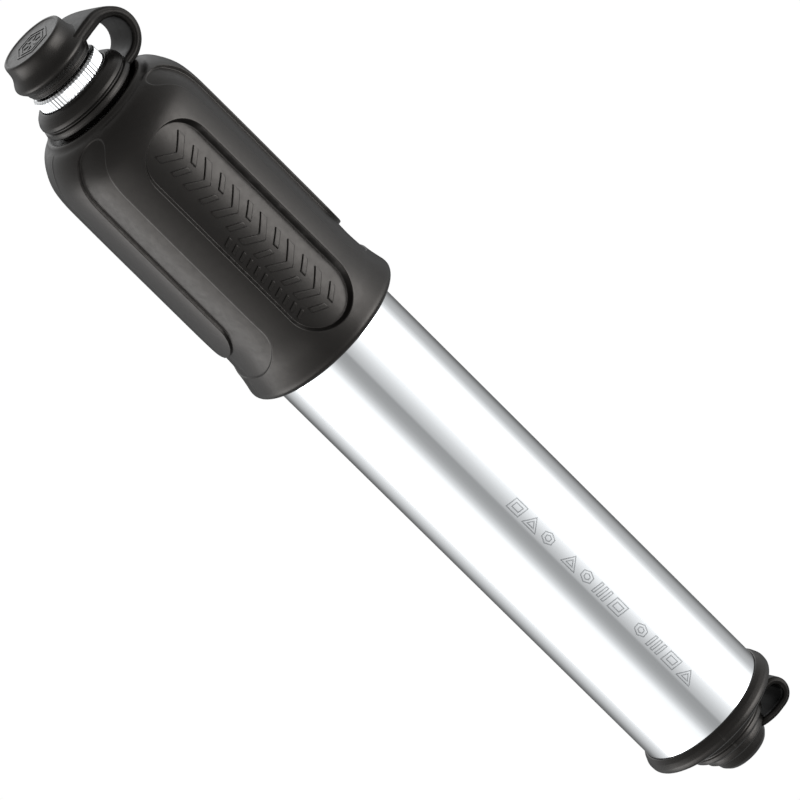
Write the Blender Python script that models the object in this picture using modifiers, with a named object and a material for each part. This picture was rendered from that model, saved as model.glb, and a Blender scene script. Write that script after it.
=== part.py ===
"""Mini hand pump with an overlapping rubber handle and a hose stored in its hollow rod.

The pump stands on its port plug: +Z runs up the pump's axis from the plug to the
dust cap, the oval panels face -Y (front) and +Y (back), and both straps are on the +X side.
Dimensions are in millimetres and become metres in the helpers.
"""

import math
from typing import NamedTuple

import bmesh
import bpy
from mathutils import Matrix, Vector

MM = 0.001


class Loop(NamedTuple):
    """The bend of a strap: its centre (out, z), outer radius, thickness and width across."""

    out: float
    z: float
    radius: float
    thick: float
    width: float


# ------------------------------------------------------------------ driving dimensions
TOTAL_H = 175.4

# barrel
TUBE_R, TUBE_WALL = 12.0, 0.8
TUBE_BORE_R = TUBE_R - TUBE_WALL
TUBE_Z0, TUBE_Z1 = 10.7, 148.0
END_GAP = 0.3  # between the tube's ends and the flanges of base plug and gland
FLANGE_R = 11.85
PORT_R, SEAT_R = 3.2, 1.2
PLUG_R, PLUG_TOP, CHAMBER_TOP = 10.8, 21.0, 19.3
POPPET_TOP = CHAMBER_TOP - 0.3

# handle
GRIP_R, RIM_R, WAIST_R = 14.8, 15.2, 14.45
GRIP_Z0, GRIP_TOP = 106.0, 161.0
GRIP_BORE = 13.05
PANEL_FLOOR_R, PANEL_HALF_W, PANEL_Z0, PANEL_Z1 = 13.8, 6.5, 109.8, 154.3
CHANNEL_FLOOR_R = 14.3
CHANNEL_HALF_W, CHANNEL_Z0, CHANNEL_Z1 = 10.8, 110.6, 172.0
RIB_HALF_W, RIB_Z0, RIB_Z1 = 6.2, 116.6, 176.0
CORE_Z0, CORE_Z1 = 90.0, 180.0
SLEEVE_IN, SLEEVE_OUT, SLEEVE_Z0, SLEEVE_Z1 = 12.35, 12.8, 108.5, 151.9

# rod and piston
ROD_IN, ROD_OUT = 4.6, 5.4
ROD_Z0, ROD_Z1 = 25.5, 155.6
PISTON_R, PISTON_TOP = 10.7, 36.0
SEAL_Z0, SEAL_Z1 = 25.8, 28.2

# hose and chuck
HOSE_R, HOSE_BORE = 3.0, 1.5
HOSE_Z0, HOSE_Z1 = 37.0, 147.2
FERRULE_LENGTH = 7.2
CHUCK_R, CHUCK_Z0, CHUCK_Z1 = 6.6, GRIP_TOP, 168.0
CHUCK_MOUTH_TOP, CHUCK_MOUTH_R = 171.0, 4.7
KNURLS = 24
KNURL_GROOVE = 0.962  # groove radius as a share of the chuck's radius

# tethers; the cap's strap sits a little behind +X, because its ring can turn on the neck
CAP_TURN = math.radians(8.0)
CAP_LOOP = Loop(out=9.1, z=166.0, radius=5.0, thick=1.7, width=7.7)
PLUG_LOOP = Loop(out=9.5, z=4.7, radius=2.6, thick=1.3, width=7.0)
PLUG_STRAP_TOP_END, PLUG_STRAP_LOW_END = 8.1, 6.65
CAP_PIVOT_OUT, CAP_PIVOT_Z = 12.6, 167.0
PLUG_PIVOT = (9.4, 0.0, 4.2)

# bleed button, pressed towards +Y, and its pocket in the coupler
BUTTON_Z, BUTTON_R, BUTTON_LENGTH, BUTTON_Y = 151.8, 1.2, 1.2, -3.5
POCKET_CLEARANCE, POCKET_LENGTH, POCKET_Y = 0.3, 4.0, -4.0

# ------------------------------------------------------------------ clean start
for old in list(bpy.data.objects):
    bpy.data.objects.remove(old, do_unlink=True)


def collection(name):
    made = bpy.data.collections.new(name)
    bpy.context.scene.collection.children.link(made)
    return made


PARTS = collection("mini_pump")
CUTTERS = collection("cutters")

# ------------------------------------------------------------------ materials
GRIP_RUBBER = (0.055, 0.050, 0.045)
SOFT_RUBBER = (0.042, 0.039, 0.037)
BLACK_RUBBER = (0.015, 0.015, 0.015)
POLISHED = (0.86, 0.87, 0.88)
SATIN_ALU = (0.72, 0.73, 0.75)
DARK_ALU = (0.22, 0.23, 0.24)
BRASS = (0.72, 0.55, 0.28)
STEEL = (0.62, 0.62, 0.63)
NATURAL_NYLON = (0.80, 0.78, 0.70)
BLACK_ACETAL = (0.06, 0.06, 0.065)
WHITE_PTFE = (0.88, 0.88, 0.85)

# name: (colour, roughness, metallic)
MATERIALS = {
    "polished_aluminium": (POLISHED, 0.12, 1.0),
    "base_aluminium": (SATIN_ALU, 0.3, 1.0),
    "seal_rubber": (BLACK_RUBBER, 0.6, 0.0),
    "valve_nylon": (NATURAL_NYLON, 0.4, 0.0),
    "retainer_brass": (BRASS, 0.35, 1.0),
    "spring_steel": (STEEL, 0.3, 1.0),
    "gland_aluminium": (DARK_ALU, 0.35, 1.0),
    "bush_nylon": (NATURAL_NYLON, 0.45, 0.0),
    "boot_rubber": (SOFT_RUBBER, 0.5, 0.0),
    "plug_strap_rubber": (SOFT_RUBBER, 0.5, 0.0),
    "plug_rubber": (SOFT_RUBBER, 0.5, 0.0),
    "grip_rubber": (GRIP_RUBBER, 0.5, 0.0),
    "sleeve_aluminium": (DARK_ALU, 0.3, 1.0),
    "handle_cap_aluminium": (SATIN_ALU, 0.3, 1.0),
    "bumper_rubber": (BLACK_RUBBER, 0.6, 0.0),
    "neck_rubber": (SOFT_RUBBER, 0.5, 0.0),
    "strap_rubber": (SOFT_RUBBER, 0.5, 0.0),
    "cap_rubber": (SOFT_RUBBER, 0.5, 0.0),
    "rod_aluminium": (SATIN_ALU, 0.2, 1.0),
    "piston_acetal": (BLACK_ACETAL, 0.35, 0.0),
    "wear_ring_ptfe": (WHITE_PTFE, 0.4, 0.0),
    "top_out_rubber": (BLACK_RUBBER, 0.6, 0.0),
    "piston_seal_rubber": (BLACK_RUBBER, 0.5, 0.0),
    "hose_rubber": (BLACK_RUBBER, 0.55, 0.0),
    "coupler_aluminium": (SATIN_ALU, 0.25, 1.0),
    "button_brass": (BRASS, 0.3, 1.0),
    "chuck_aluminium": (POLISHED, 0.18, 1.0),
    "gasket_rubber": (BLACK_RUBBER, 0.6, 0.0),
    "upper_ferrule_brass": (BRASS, 0.3, 1.0),
    "lower_ferrule_brass": (BRASS, 0.3, 1.0),
    "fitting_aluminium": (SATIN_ALU, 0.25, 1.0),
    "fitting_seal_rubber": (BLACK_RUBBER, 0.6, 0.0),
}


def material(name):
    colour, roughness, metallic = MATERIALS[name]
    made = bpy.data.materials.new(name)
    made.use_nodes = True
    inputs = made.node_tree.nodes["Principled BSDF"].inputs
    inputs["Base Color"].default_value = (*colour, 1.0)
    inputs["Roughness"].default_value = roughness
    inputs["Metallic"].default_value = metallic
    made.diffuse_color = (*colour, 1.0)
    return made


# ------------------------------------------------------------------ modelling helpers
def move_to(obj, target):
    """Makes target the only collection that holds obj."""
    for holder in list(obj.users_collection):
        holder.objects.unlink(obj)
    target.objects.link(obj)
    return obj


def new_object(name, data):
    return move_to(bpy.data.objects.new(name, data), PARTS)


def joint(name, at):
    """An empty that marks a joint."""
    made = new_object(name, None)
    made.empty_display_size = 0.01
    made.location = Vector(at) * MM
    return made


def finish(obj, material_name, parent=None):
    """Paints obj and, if given a joint, hangs it there without moving it."""
    obj.data.materials.append(material(material_name))
    if parent:
        obj.parent = parent
        obj.matrix_parent_inverse = Matrix.Translation(-parent.location)
    return obj


def as_cutter(obj):
    move_to(obj, CUTTERS)
    obj.hide_render = True
    obj.display_type = "WIRE"
    return obj


def turned(name, profile, segments):
    """A profile of (r, z) points turned about Z. It is closed unless both ends are on the axis."""
    mesh = bpy.data.meshes.new(name)
    points = [(r * MM, 0.0, z * MM) for r, z in profile]
    edges = [(i, i + 1) for i in range(len(points) - 1)]
    if profile[0][0] > 1e-6 or profile[-1][0] > 1e-6:
        edges.append((len(points) - 1, 0))
    mesh.from_pydata(points, edges, [])
    obj = new_object(name, mesh)
    screw = obj.modifiers.new("turn", "SCREW")
    screw.axis = "Z"
    screw.angle = 2 * math.pi
    screw.steps = screw.render_steps = segments
    screw.use_merge_vertices = True
    screw.merge_threshold = 0.00001
    screw.use_smooth_shade = False
    return obj


def baked(obj, sharp_angle=35):
    """Turns modifiers or a curve into a welded mesh with smooth sides and sharp corners."""
    graph = bpy.context.evaluated_depsgraph_get()
    graph.update()
    mesh = bpy.data.meshes.new_from_object(obj.evaluated_get(graph))
    work = bmesh.new()
    work.from_mesh(mesh)
    bmesh.ops.remove_doubles(work, verts=work.verts, dist=0.000002)
    work.to_mesh(mesh)
    work.free()
    mesh.name = obj.name
    if obj.type == "MESH":
        obj.modifiers.clear()
        obj.data = mesh
    else:
        # a curve object can't hold a mesh, so a new object takes its name and place
        name, place = obj.name, obj.matrix_world.copy()
        bpy.data.objects.remove(obj, do_unlink=True)
        obj = new_object(name, mesh)
        obj.matrix_world = place
    mesh.shade_smooth()
    mesh.set_sharp_from_angle(angle=math.radians(sharp_angle))
    return obj


def turned_part(name, material_name, segments, profile, parent=None):
    return finish(baked(turned(name, profile, segments)), material_name, parent)


def o_ring(name, major, minor, z, sides):
    bpy.ops.mesh.primitive_torus_add(
        major_radius=major * MM,
        minor_radius=minor * MM,
        major_segments=sides,
        minor_segments=6,
        location=(0, 0, z * MM),
    )
    obj = bpy.context.object
    obj.name = obj.data.name = name
    obj.data.shade_smooth()
    return move_to(obj, PARTS)


def button_cylinder(name, radius, length, y):
    """A cylinder along Y at the bleed button's height, centred on y."""
    bpy.ops.mesh.primitive_cylinder_add(
        vertices=20,
        radius=radius * MM,
        depth=length * MM,
        location=(0, y * MM, BUTTON_Z * MM),
        rotation=(math.pi / 2, 0, 0),
    )
    obj = bpy.context.object
    obj.name = obj.data.name = name
    return obj


def cut(target, cutter, name):
    boolean = target.modifiers.new(name, "BOOLEAN")
    boolean.operation = "DIFFERENCE"
    boolean.solver = "EXACT"
    boolean.object = cutter


def prism(name, outline, low, high, axis):
    """A cutter: an outline of (across, up) points, pushed from low to high along X or Y."""
    work = bmesh.new()
    if axis == "Y":
        corners = [work.verts.new((across * MM, low * MM, up * MM)) for across, up in outline]
        push = Vector((0, (high - low) * MM, 0))
    else:
        corners = [work.verts.new((low * MM, across * MM, up * MM)) for across, up in outline]
        push = Vector(((high - low) * MM, 0, 0))
    grown = bmesh.ops.extrude_face_region(work, geom=[work.faces.new(corners)])["geom"]
    far_end = [item for item in grown if isinstance(item, bmesh.types.BMVert)]
    bmesh.ops.translate(work, vec=push, verts=far_end)
    bmesh.ops.recalc_face_normals(work, faces=work.faces)
    mesh = bpy.data.meshes.new(name)
    work.to_mesh(mesh)
    work.free()
    return as_cutter(new_object(name, mesh))


def arc(across, up, radius, start, end, steps):
    """Points on an arc about (across, up), angles in degrees from across towards up."""
    angles = [math.radians(start + (end - start) * k / steps) for k in range(steps + 1)]
    return [(across + radius * math.cos(a), up + radius * math.sin(a)) for a in angles]


def stadium(half_w, low, high, steps=8):
    """An upright outline with half circles at both ends."""
    top = arc(0, high - half_w, half_w, 0, 180, steps)
    return top + arc(0, low + half_w, half_w, 180, 360, steps)


def band(name, outline, width, turn=0.0):
    """A strap: an outline of (out, z) points with its width across, turned about Z."""
    curve = bpy.data.curves.new(name, "CURVE")
    curve.dimensions = "2D"
    curve.fill_mode = "BOTH"
    curve.extrude = width / 2 * MM
    spline = curve.splines.new("POLY")
    spline.points.add(len(outline) - 1)
    for point, (out, z) in zip(spline.points, outline):
        point.co = (out * MM, z * MM, 0, 1)
    spline.use_cyclic_u = True
    obj = new_object(name, curve)
    obj.rotation_euler = (math.pi / 2, 0, turn)
    bpy.context.view_layer.update()
    return baked(obj)


# ------------------------------------------------------------------ joints
handle_axis = joint("handle_slide_axis", (0, 0, GRIP_Z0))
hose_axis = joint("hose_spin_axis", (0, 0, CHUCK_Z0))
valve_axis = joint("check_valve_axis", (0, 0, CHAMBER_TOP))
seal_axis = joint("piston_seal_axis", (0, 0, SEAL_Z0))
cap_pivot = joint(
    "dust_cap_pivot",
    (CAP_PIVOT_OUT * math.cos(CAP_TURN), CAP_PIVOT_OUT * math.sin(CAP_TURN), CAP_PIVOT_Z),
)
plug_pivot = joint("port_plug_pivot", PLUG_PIVOT)
button_axis = joint("bleed_button_axis", (0, BUTTON_Y - BUTTON_LENGTH / 2, BUTTON_Z))

# Every profile below is a list of (r, z) points.

# ------------------------------------------------------------------ barrel
turned_part("barrel_tube", "polished_aluminium", 40, [
    (TUBE_R - 0.15, TUBE_Z1),
    (TUBE_R, TUBE_Z1 - 0.2),
    (TUBE_R, TUBE_Z0),
    (TUBE_BORE_R, TUBE_Z0),
    (TUBE_BORE_R, TUBE_Z1),
])

# base plug, with an O-ring groove outside, the valve chamber inside and a flange below the tube
turned_part("base_plug", "base_aluminium", 20, [
    (SEAT_R, PLUG_TOP), (10.4, PLUG_TOP), (PLUG_R, PLUG_TOP - 0.4),
    (PLUG_R, 16.6), (9.5, 16.6), (9.5, 14.7), (PLUG_R, 14.7),
    (PLUG_R, TUBE_Z0 - END_GAP), (FLANGE_R, TUBE_Z0 - END_GAP), (FLANGE_R, 9.6),
    (6.6, 9.6), (6.6, 6.4), (PORT_R, 6.4),
    (PORT_R, CHAMBER_TOP), (SEAT_R, CHAMBER_TOP),
])
finish(o_ring("base_plug_oring", major=10.3, minor=0.7, z=15.65, sides=24), "seal_rubber")

# check valve
turned_part("valve_poppet", "valve_nylon", 20, [
    (0.0, POPPET_TOP), (2.3, POPPET_TOP), (2.7, POPPET_TOP - 0.4),
    (2.7, POPPET_TOP - 1.0), (1.2, POPPET_TOP - 1.1), (0.0, POPPET_TOP - 1.1),
], valve_axis)
turned_part("valve_retainer", "retainer_brass", 20, [
    (1.2, 13.7), (2.95, 13.7), (2.95, 12.6), (1.2, 12.6),
])

# spring between the poppet and the retainer
COIL_TURNS, COIL_STEPS = 4, 10  # steps are per turn
COIL_R, COIL_WIRE_R, COIL_Z0, COIL_Z1 = 2.1, 0.24, 14.25, 17.35


def valve_spring():
    coil = bpy.data.curves.new("valve_spring", "CURVE")
    coil.dimensions = "3D"
    coil.bevel_depth = COIL_WIRE_R * MM
    coil.bevel_resolution = 1
    coil.use_fill_caps = True
    steps = COIL_TURNS * COIL_STEPS
    spline = coil.splines.new("POLY")
    spline.points.add(steps)
    for k, point in enumerate(spline.points):
        angle = 2 * math.pi * k / COIL_STEPS
        x, y = COIL_R * math.cos(angle), COIL_R * math.sin(angle)
        z = COIL_Z0 + (COIL_Z1 - COIL_Z0) * k / steps
        point.co = (x * MM, y * MM, z * MM, 1)
    finish(baked(new_object("valve_spring", coil)), "spring_steel")


valve_spring()

# gland in the tube's top end, and the bush the rod slides in
turned_part("barrel_gland", "gland_aluminium", 28, [
    (6.7, 150.2), (11.3, 150.2), (FLANGE_R, 149.7), (FLANGE_R, TUBE_Z1 + END_GAP),
    (10.9, TUBE_Z1 + END_GAP), (10.9, 140.5), (6.7, 140.5),
])
turned_part("gland_bush", "bush_nylon", 24, [
    (5.62, 149.9), (6.4, 149.9), (6.4, 140.9), (5.62, 140.9),
])

# rubber boot round the barrel's lower end
turned_part("end_boot", "boot_rubber", 36, [
    (12.2, 12.5), (12.45, 12.5), (12.95, 11.6), (13.1, 10.1), (12.9, 8.9), (12.3, 8.2),
    (8.2, 7.6), (7.6, 7.2), (7.6, 5.2), (7.2, 4.8), (4.2, 4.8), (4.2, 6.0),
    (6.95, 6.0), (6.95, 9.3), (12.2, 9.3),
])


def plug_strap():
    """A U lying on its side, open towards the axis."""
    out, z, radius, thick, width = PLUG_LOOP
    outline = [
        (PLUG_STRAP_TOP_END, z + radius),
        *arc(out, z, radius, 90, -90, 10),
        (PLUG_STRAP_LOW_END, z - radius),
        (PLUG_STRAP_LOW_END, z - radius + thick),
        *arc(out, z, radius - thick, -90, 90, 8),
        (PLUG_STRAP_TOP_END, z + radius - thick),
    ]
    finish(band("plug_strap", outline, width), "plug_strap_rubber")


plug_strap()

turned_part("port_plug", "plug_rubber", 28, [
    (0.0, 8.0), (2.1, 8.0), (2.4, 7.5), (2.4, 4.5), (6.2, 4.5), (6.2, 3.3),
    (5.9, 2.9), (4.9, 2.6), (4.6, 1.4), (3.9, 0.5), (3.0, 0.0), (0.0, 0.0),
], plug_pivot)

# ------------------------------------------------------------------ handle
GRIP_PROFILE = [
    # shoulder
    (7.25, GRIP_TOP), (9.2, GRIP_TOP), (10.2, GRIP_TOP - 0.3), (11.5, 159.95),
    (12.5, 158.8), (13.4, 157.5), (14.15, 156.1), (14.6, 154.7),
    # side, waist and rim
    (GRIP_R, 152.5), (GRIP_R, 118.0), (WAIST_R, 112.5), (14.75, 109.6),
    (RIM_R, 107.6), (RIM_R, 106.8), (14.8, GRIP_Z0),
    # inside
    (12.4, GRIP_Z0), (12.4, 107.6), (GRIP_BORE, 108.2), (GRIP_BORE, 153.2),
    (12.75, 154.4), (11.8, 156.3), (9.8, 158.7), (7.25, 159.5),
]


def floor_core(name, radius):
    """A cylinder taken out of the cutters, so that what they cut has a round floor."""
    profile = [(0, CORE_Z1), (radius, CORE_Z1), (radius, CORE_Z0), (0, CORE_Z0)]
    return as_cutter(turned(name, profile, 48))


def cut_panels(grip):
    """Sinks the oval panels, front and back."""
    core = floor_core("panel_core", PANEL_FLOOR_R)
    outline = stadium(PANEL_HALF_W, PANEL_Z0, PANEL_Z1)
    for side, low, high in (("front", -20, -2), ("back", 2, 20)):
        tool = prism(f"panel_{side}", outline, low, high, "Y")
        cut(tool, core, "round_floor")
        cut(grip, tool, f"panel_{side}")


def cut_channels(grip):
    """Sinks the channels that run round the side ribs and out over the shoulder."""
    core = floor_core("channel_core", CHANNEL_FLOOR_R)
    channel_outline = stadium(CHANNEL_HALF_W, CHANNEL_Z0, CHANNEL_Z1, steps=10)
    rib_outline = stadium(RIB_HALF_W, RIB_Z0, RIB_Z1)
    for side, low, high in (("right", 6, 20), ("left", -20, -6)):
        tool = prism(f"channel_{side}", channel_outline, low, high, "X")
        rib = prism(f"rib_{side}", rib_outline, low - 1, high + 1, "X")
        cut(tool, core, "round_floor")
        cut(tool, rib, "rib")
        cut(grip, tool, f"channel_{side}")


def grip():
    body = baked(turned("grip", GRIP_PROFILE, 48))
    cut_panels(body)
    cut_channels(body)
    bpy.context.view_layer.update()
    finish(baked(body, sharp_angle=28), "grip_rubber", handle_axis)


grip()

turned_part("handle_sleeve", "sleeve_aluminium", 36, [
    (SLEEVE_IN, SLEEVE_Z1), (SLEEVE_OUT, SLEEVE_Z1),
    (SLEEVE_OUT, SLEEVE_Z0), (SLEEVE_IN, SLEEVE_Z0),
], handle_axis)

# cap inside the grip's shoulder, round the rod's top end
turned_part("handle_cap", "handle_cap_aluminium", 24, [
    (4.9, 160.6), (6.9, 160.6), (6.9, 159.1), (9.5, 158.2), (11.4, 156.0), (12.4, 154.1),
    (12.7, 152.9), (12.7, 152.2), (12.0, 152.2), (12.0, 151.8),
    (5.8, 151.8), (5.8, 155.9), (4.9, 155.9),
], handle_axis)

# washer between the handle cap and the barrel's gland
turned_part("closing_bumper", "bumper_rubber", 20, [
    (5.8, 151.5), (9.2, 151.5), (9.2, 150.5), (5.8, 150.5),
], handle_axis)

# ring round the chuck, which carries the cap's strap
turned_part("neck_ring", "neck_rubber", 30, [
    (6.95, 165.9), (7.3, 165.9), (8.45, 164.9), (8.6, 164.2), (8.6, 163.6), (8.3, 163.4),
    (8.3, 163.2), (8.8, 162.9), (8.8, 161.9), (8.4, 161.4), (6.95, 161.3),
], handle_axis)


def cap_strap():
    """A half loop that bulges away from the axis."""
    out, z, radius, thick, width = CAP_LOOP
    outline = arc(out, z, radius, 106, -90, 14) + arc(out, z, radius - thick, -90, 106, 12)
    finish(band("cap_strap", outline, width, CAP_TURN), "strap_rubber", handle_axis)


cap_strap()

turned_part("dust_cap", "cap_rubber", 30, [
    (0.0, TOTAL_H), (5.45, TOTAL_H), (5.9, TOTAL_H - 0.45), (5.95, 174.1), (6.15, 173.0),
    (6.75, 172.2), (7.23, 171.3), (7.0, 170.3), (6.5, 169.4), (6.3, 168.3),
    (5.45, 168.3), (5.45, 171.9), (0.0, 171.9),
], cap_pivot)

# ------------------------------------------------------------------ rod and piston
turned_part("piston_rod", "rod_aluminium", 24, [
    (ROD_IN, ROD_Z1), (ROD_OUT, ROD_Z1), (ROD_OUT, ROD_Z0), (ROD_IN, ROD_Z0),
], handle_axis)

# a cup on the rod's lower end, with grooves for the wear ring (upper) and the seal (lower)
turned_part("piston_head", "piston_acetal", 20, [
    (5.7, PISTON_TOP), (7.6, PISTON_TOP), (7.6, 34.5), (PISTON_R, 34.5),
    (PISTON_R, 33.4), (9.9, 33.4), (9.9, 30.6), (PISTON_R, 30.6),
    (PISTON_R, 29.4), (9.3, 29.4), (9.3, 25.4), (PISTON_R, 25.4),
    (PISTON_R, 23.3), (9.9, 22.5), (0.0, 22.5), (0.0, 25.2), (5.7, 25.2),
], handle_axis)
turned_part("piston_wear_ring", "wear_ring_ptfe", 24, [
    (10.1, 33.1), (10.95, 33.1), (10.95, 30.9), (10.1, 30.9),
], handle_axis)
turned_part("piston_bumper", "top_out_rubber", 20, [
    (5.65, 39.3), (8.0, 39.3), (8.6, 38.7), (8.6, PISTON_TOP + 0.3), (5.65, PISTON_TOP + 0.3),
], handle_axis)
turned_part("piston_seal", "piston_seal_rubber", 24, [
    (9.55, SEAL_Z1), (PISTON_R, SEAL_Z1), (11.02, SEAL_Z1 - 0.6),
    (11.02, SEAL_Z0 + 0.6), (PISTON_R, SEAL_Z0), (9.55, SEAL_Z0),
], seal_axis)

# ------------------------------------------------------------------ hose
turned_part("hose_tube", "hose_rubber", 20, [
    (HOSE_BORE, HOSE_Z1), (HOSE_R, HOSE_Z1), (HOSE_R, HOSE_Z0), (HOSE_BORE, HOSE_Z0),
], hose_axis)


def hose_coupler():
    """The sleeve between hose and chuck, with the bleed button's pocket in its front."""
    profile = [(HOSE_BORE, 156.1), (4.2, 156.1), (4.2, 147.5), (HOSE_BORE, 147.5)]
    coupler = baked(turned("hose_coupler", profile, 24))
    pocket_r = BUTTON_R + POCKET_CLEARANCE
    pocket = button_cylinder("button_pocket", pocket_r, POCKET_LENGTH, POCKET_Y)
    cut(coupler, as_cutter(pocket), "button_pocket")
    bpy.context.view_layer.update()
    finish(baked(coupler), "coupler_aluminium", hose_axis)


def bleed_button():
    button = button_cylinder("bleed_button", BUTTON_R, BUTTON_LENGTH, BUTTON_Y)
    move_to(button, PARTS)
    button.data.shade_smooth()
    button.data.set_sharp_from_angle(angle=math.radians(35))
    finish(button, "button_brass", button_axis)


hose_coupler()
bleed_button()

# the knurl: every second line of the chuck's rim stands lower
chuck = turned_part("knurled_chuck", "chuck_aluminium", KNURLS * 2, [
    (3.85, CHUCK_MOUTH_TOP), (4.4, CHUCK_MOUTH_TOP), (CHUCK_MOUTH_R, CHUCK_MOUTH_TOP - 0.4),
    (CHUCK_MOUTH_R, CHUCK_Z1), (6.2, CHUCK_Z1), (CHUCK_R, CHUCK_Z1 - 0.3),
    (CHUCK_R, CHUCK_Z0 + 0.3), (6.2, CHUCK_Z0), (4.6, CHUCK_Z0),
    (4.6, 156.4), (1.6, 156.4), (1.6, 163.3), (3.85, 163.3),
], hose_axis)
for vertex in chuck.data.vertices:
    x, y, _ = vertex.co
    on_rim = abs(math.hypot(x, y) - CHUCK_R * MM) < 0.00002
    line = round(math.atan2(y, x) / (math.pi / KNURLS))
    if on_rim and line % 2:
        vertex.co.x *= KNURL_GROOVE
        vertex.co.y *= KNURL_GROOVE
chuck.data.set_sharp_from_angle(angle=math.radians(12))

turned_part("chuck_gasket", "gasket_rubber", 20, [
    (1.7, 165.6), (3.4, 165.6), (3.6, 165.3), (3.6, 163.6), (1.7, 163.6),
], hose_axis)

# ferrules round both ends of the hose
for name, low in (("upper_ferrule", HOSE_Z1 - FERRULE_LENGTH), ("lower_ferrule", HOSE_Z0 + 0.3)):
    high = low + FERRULE_LENGTH
    turned_part(name, f"{name}_brass", 20, [
        (3.22, high), (3.8, high), (4.0, high - 0.3),
        (4.0, low + 0.3), (3.8, low), (3.22, low),
    ], hose_axis)

# fitting at the hose's lower end, with its O-ring
turned_part("hose_end_fitting", "fitting_aluminium", 20, [
    (HOSE_BORE, 36.7), (4.1, 36.7), (4.1, 33.0), (2.9, 33.0),
    (2.9, 27.8), (2.5, 27.4), (HOSE_BORE, 27.4),
], hose_axis)
hose_end_oring = o_ring("hose_end_oring", major=3.38, minor=0.35, z=32.45, sides=20)
finish(hose_end_oring, "fitting_seal_rubber", hose_axis)
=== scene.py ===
"""Mini hand pump: detailed meshes, materials and studio, built round the CAD frame.

The pump stands along Z: port plug at the bottom, barrel, grip, then chuck and dust cap on top.
The front is -Y. Lengths are millimetres until solid() turns them into metres. Angle phi runs
from the front (-Y) towards +X. Every turned outline is a list of (radius, z) or (radius, z,
fillet) points.
"""

import math

import bmesh
import bpy
import numpy as np
from mathutils import Matrix, Vector
from mathutils.geometry import delaunay_2d_cdt
from mathutils.kdtree import KDTree


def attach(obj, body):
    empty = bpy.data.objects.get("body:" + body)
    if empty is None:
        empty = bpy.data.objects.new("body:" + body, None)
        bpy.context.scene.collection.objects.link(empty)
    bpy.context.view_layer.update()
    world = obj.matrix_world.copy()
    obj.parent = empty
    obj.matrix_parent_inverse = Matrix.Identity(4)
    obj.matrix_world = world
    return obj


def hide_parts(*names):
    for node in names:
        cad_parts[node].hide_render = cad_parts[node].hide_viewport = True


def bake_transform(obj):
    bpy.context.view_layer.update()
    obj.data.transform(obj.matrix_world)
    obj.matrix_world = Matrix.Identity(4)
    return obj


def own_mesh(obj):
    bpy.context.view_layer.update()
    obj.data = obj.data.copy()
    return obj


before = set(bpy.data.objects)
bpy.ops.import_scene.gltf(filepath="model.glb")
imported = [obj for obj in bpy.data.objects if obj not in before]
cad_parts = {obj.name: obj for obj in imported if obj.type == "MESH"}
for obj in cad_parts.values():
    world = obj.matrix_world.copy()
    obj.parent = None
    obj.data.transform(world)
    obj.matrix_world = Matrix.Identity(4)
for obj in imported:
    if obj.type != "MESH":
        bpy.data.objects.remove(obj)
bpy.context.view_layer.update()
scene = bpy.context.scene

MM = 0.001
DEG = math.pi / 180
CAP_TURN = 8.0 * DEG  # the cap strap leaves +X by this much, towards +Y
FILLET = 0.1  # where an outline point gives none
FILLET_STEP = 13.0  # degrees
TUBE_RADIUS = 12.0
CAP_FACE = 175.16  # top of the dust cap


# ================================================================== mesh helpers
def solid(name, verts, faces, sharp=40.0, weighted=True):
    """A closed mesh object from points in mm. sharp is an edge angle in degrees."""
    mesh = bpy.data.meshes.new(name)
    mesh.from_pydata((np.asarray(verts, float) * MM).tolist(), [], faces)
    work = bmesh.new()
    work.from_mesh(mesh)
    bmesh.ops.remove_doubles(work, verts=work.verts, dist=4e-7)
    bmesh.ops.dissolve_degenerate(work, edges=work.edges, dist=1e-7)
    bmesh.ops.recalc_face_normals(work, faces=work.faces)
    work.to_mesh(mesh)
    work.free()
    mesh.shade_smooth()
    mesh.set_sharp_from_angle(angle=sharp * DEG)
    obj = bpy.data.objects.new(name, mesh)
    scene.collection.objects.link(obj)
    if weighted:
        shading = obj.modifiers.new("even_shading", "WEIGHTED_NORMAL")
        shading.mode = "FACE_AREA"
        shading.weight = 50
        shading.keep_sharp = True
    return obj


def filleted(outline, closed):
    """Rounds the corners of an outline."""
    count = len(outline)
    out = []
    for i, point in enumerate(outline):
        fillet = point[2] if len(point) > 2 else FILLET
        corner = np.array(point[:2], float)
        if fillet <= 0 or (not closed and i in (0, count - 1)):
            out.append((corner[0], corner[1]))
            continue
        before = np.array(outline[i - 1][:2], float) - corner
        after = np.array(outline[(i + 1) % count][:2], float) - corner
        before_length, after_length = np.linalg.norm(before), np.linalg.norm(after)
        before, after = before / before_length, after / after_length
        opening = math.acos(max(-1.0, min(1.0, float(before @ after))))
        if opening > 175 * DEG:
            out.append((corner[0], corner[1]))
            continue
        setback = min(fillet / math.tan(opening / 2), 0.46 * before_length, 0.46 * after_length)
        radius = setback * math.tan(opening / 2)
        middle = (before + after) / np.linalg.norm(before + after)
        centre = corner + middle * radius / math.sin(opening / 2)
        first, last = corner + before * setback - centre, corner + after * setback - centre
        start, end = math.atan2(first[1], first[0]), math.atan2(last[1], last[0])
        sweep = (end - start + math.pi) % (2 * math.pi) - math.pi
        steps = max(2, math.ceil(abs(sweep) / DEG / FILLET_STEP))
        for k in range(steps + 1):
            angle = start + sweep * k / steps
            out.append((centre[0] + radius * math.cos(angle), centre[1] + radius * math.sin(angle)))
    return out


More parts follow.
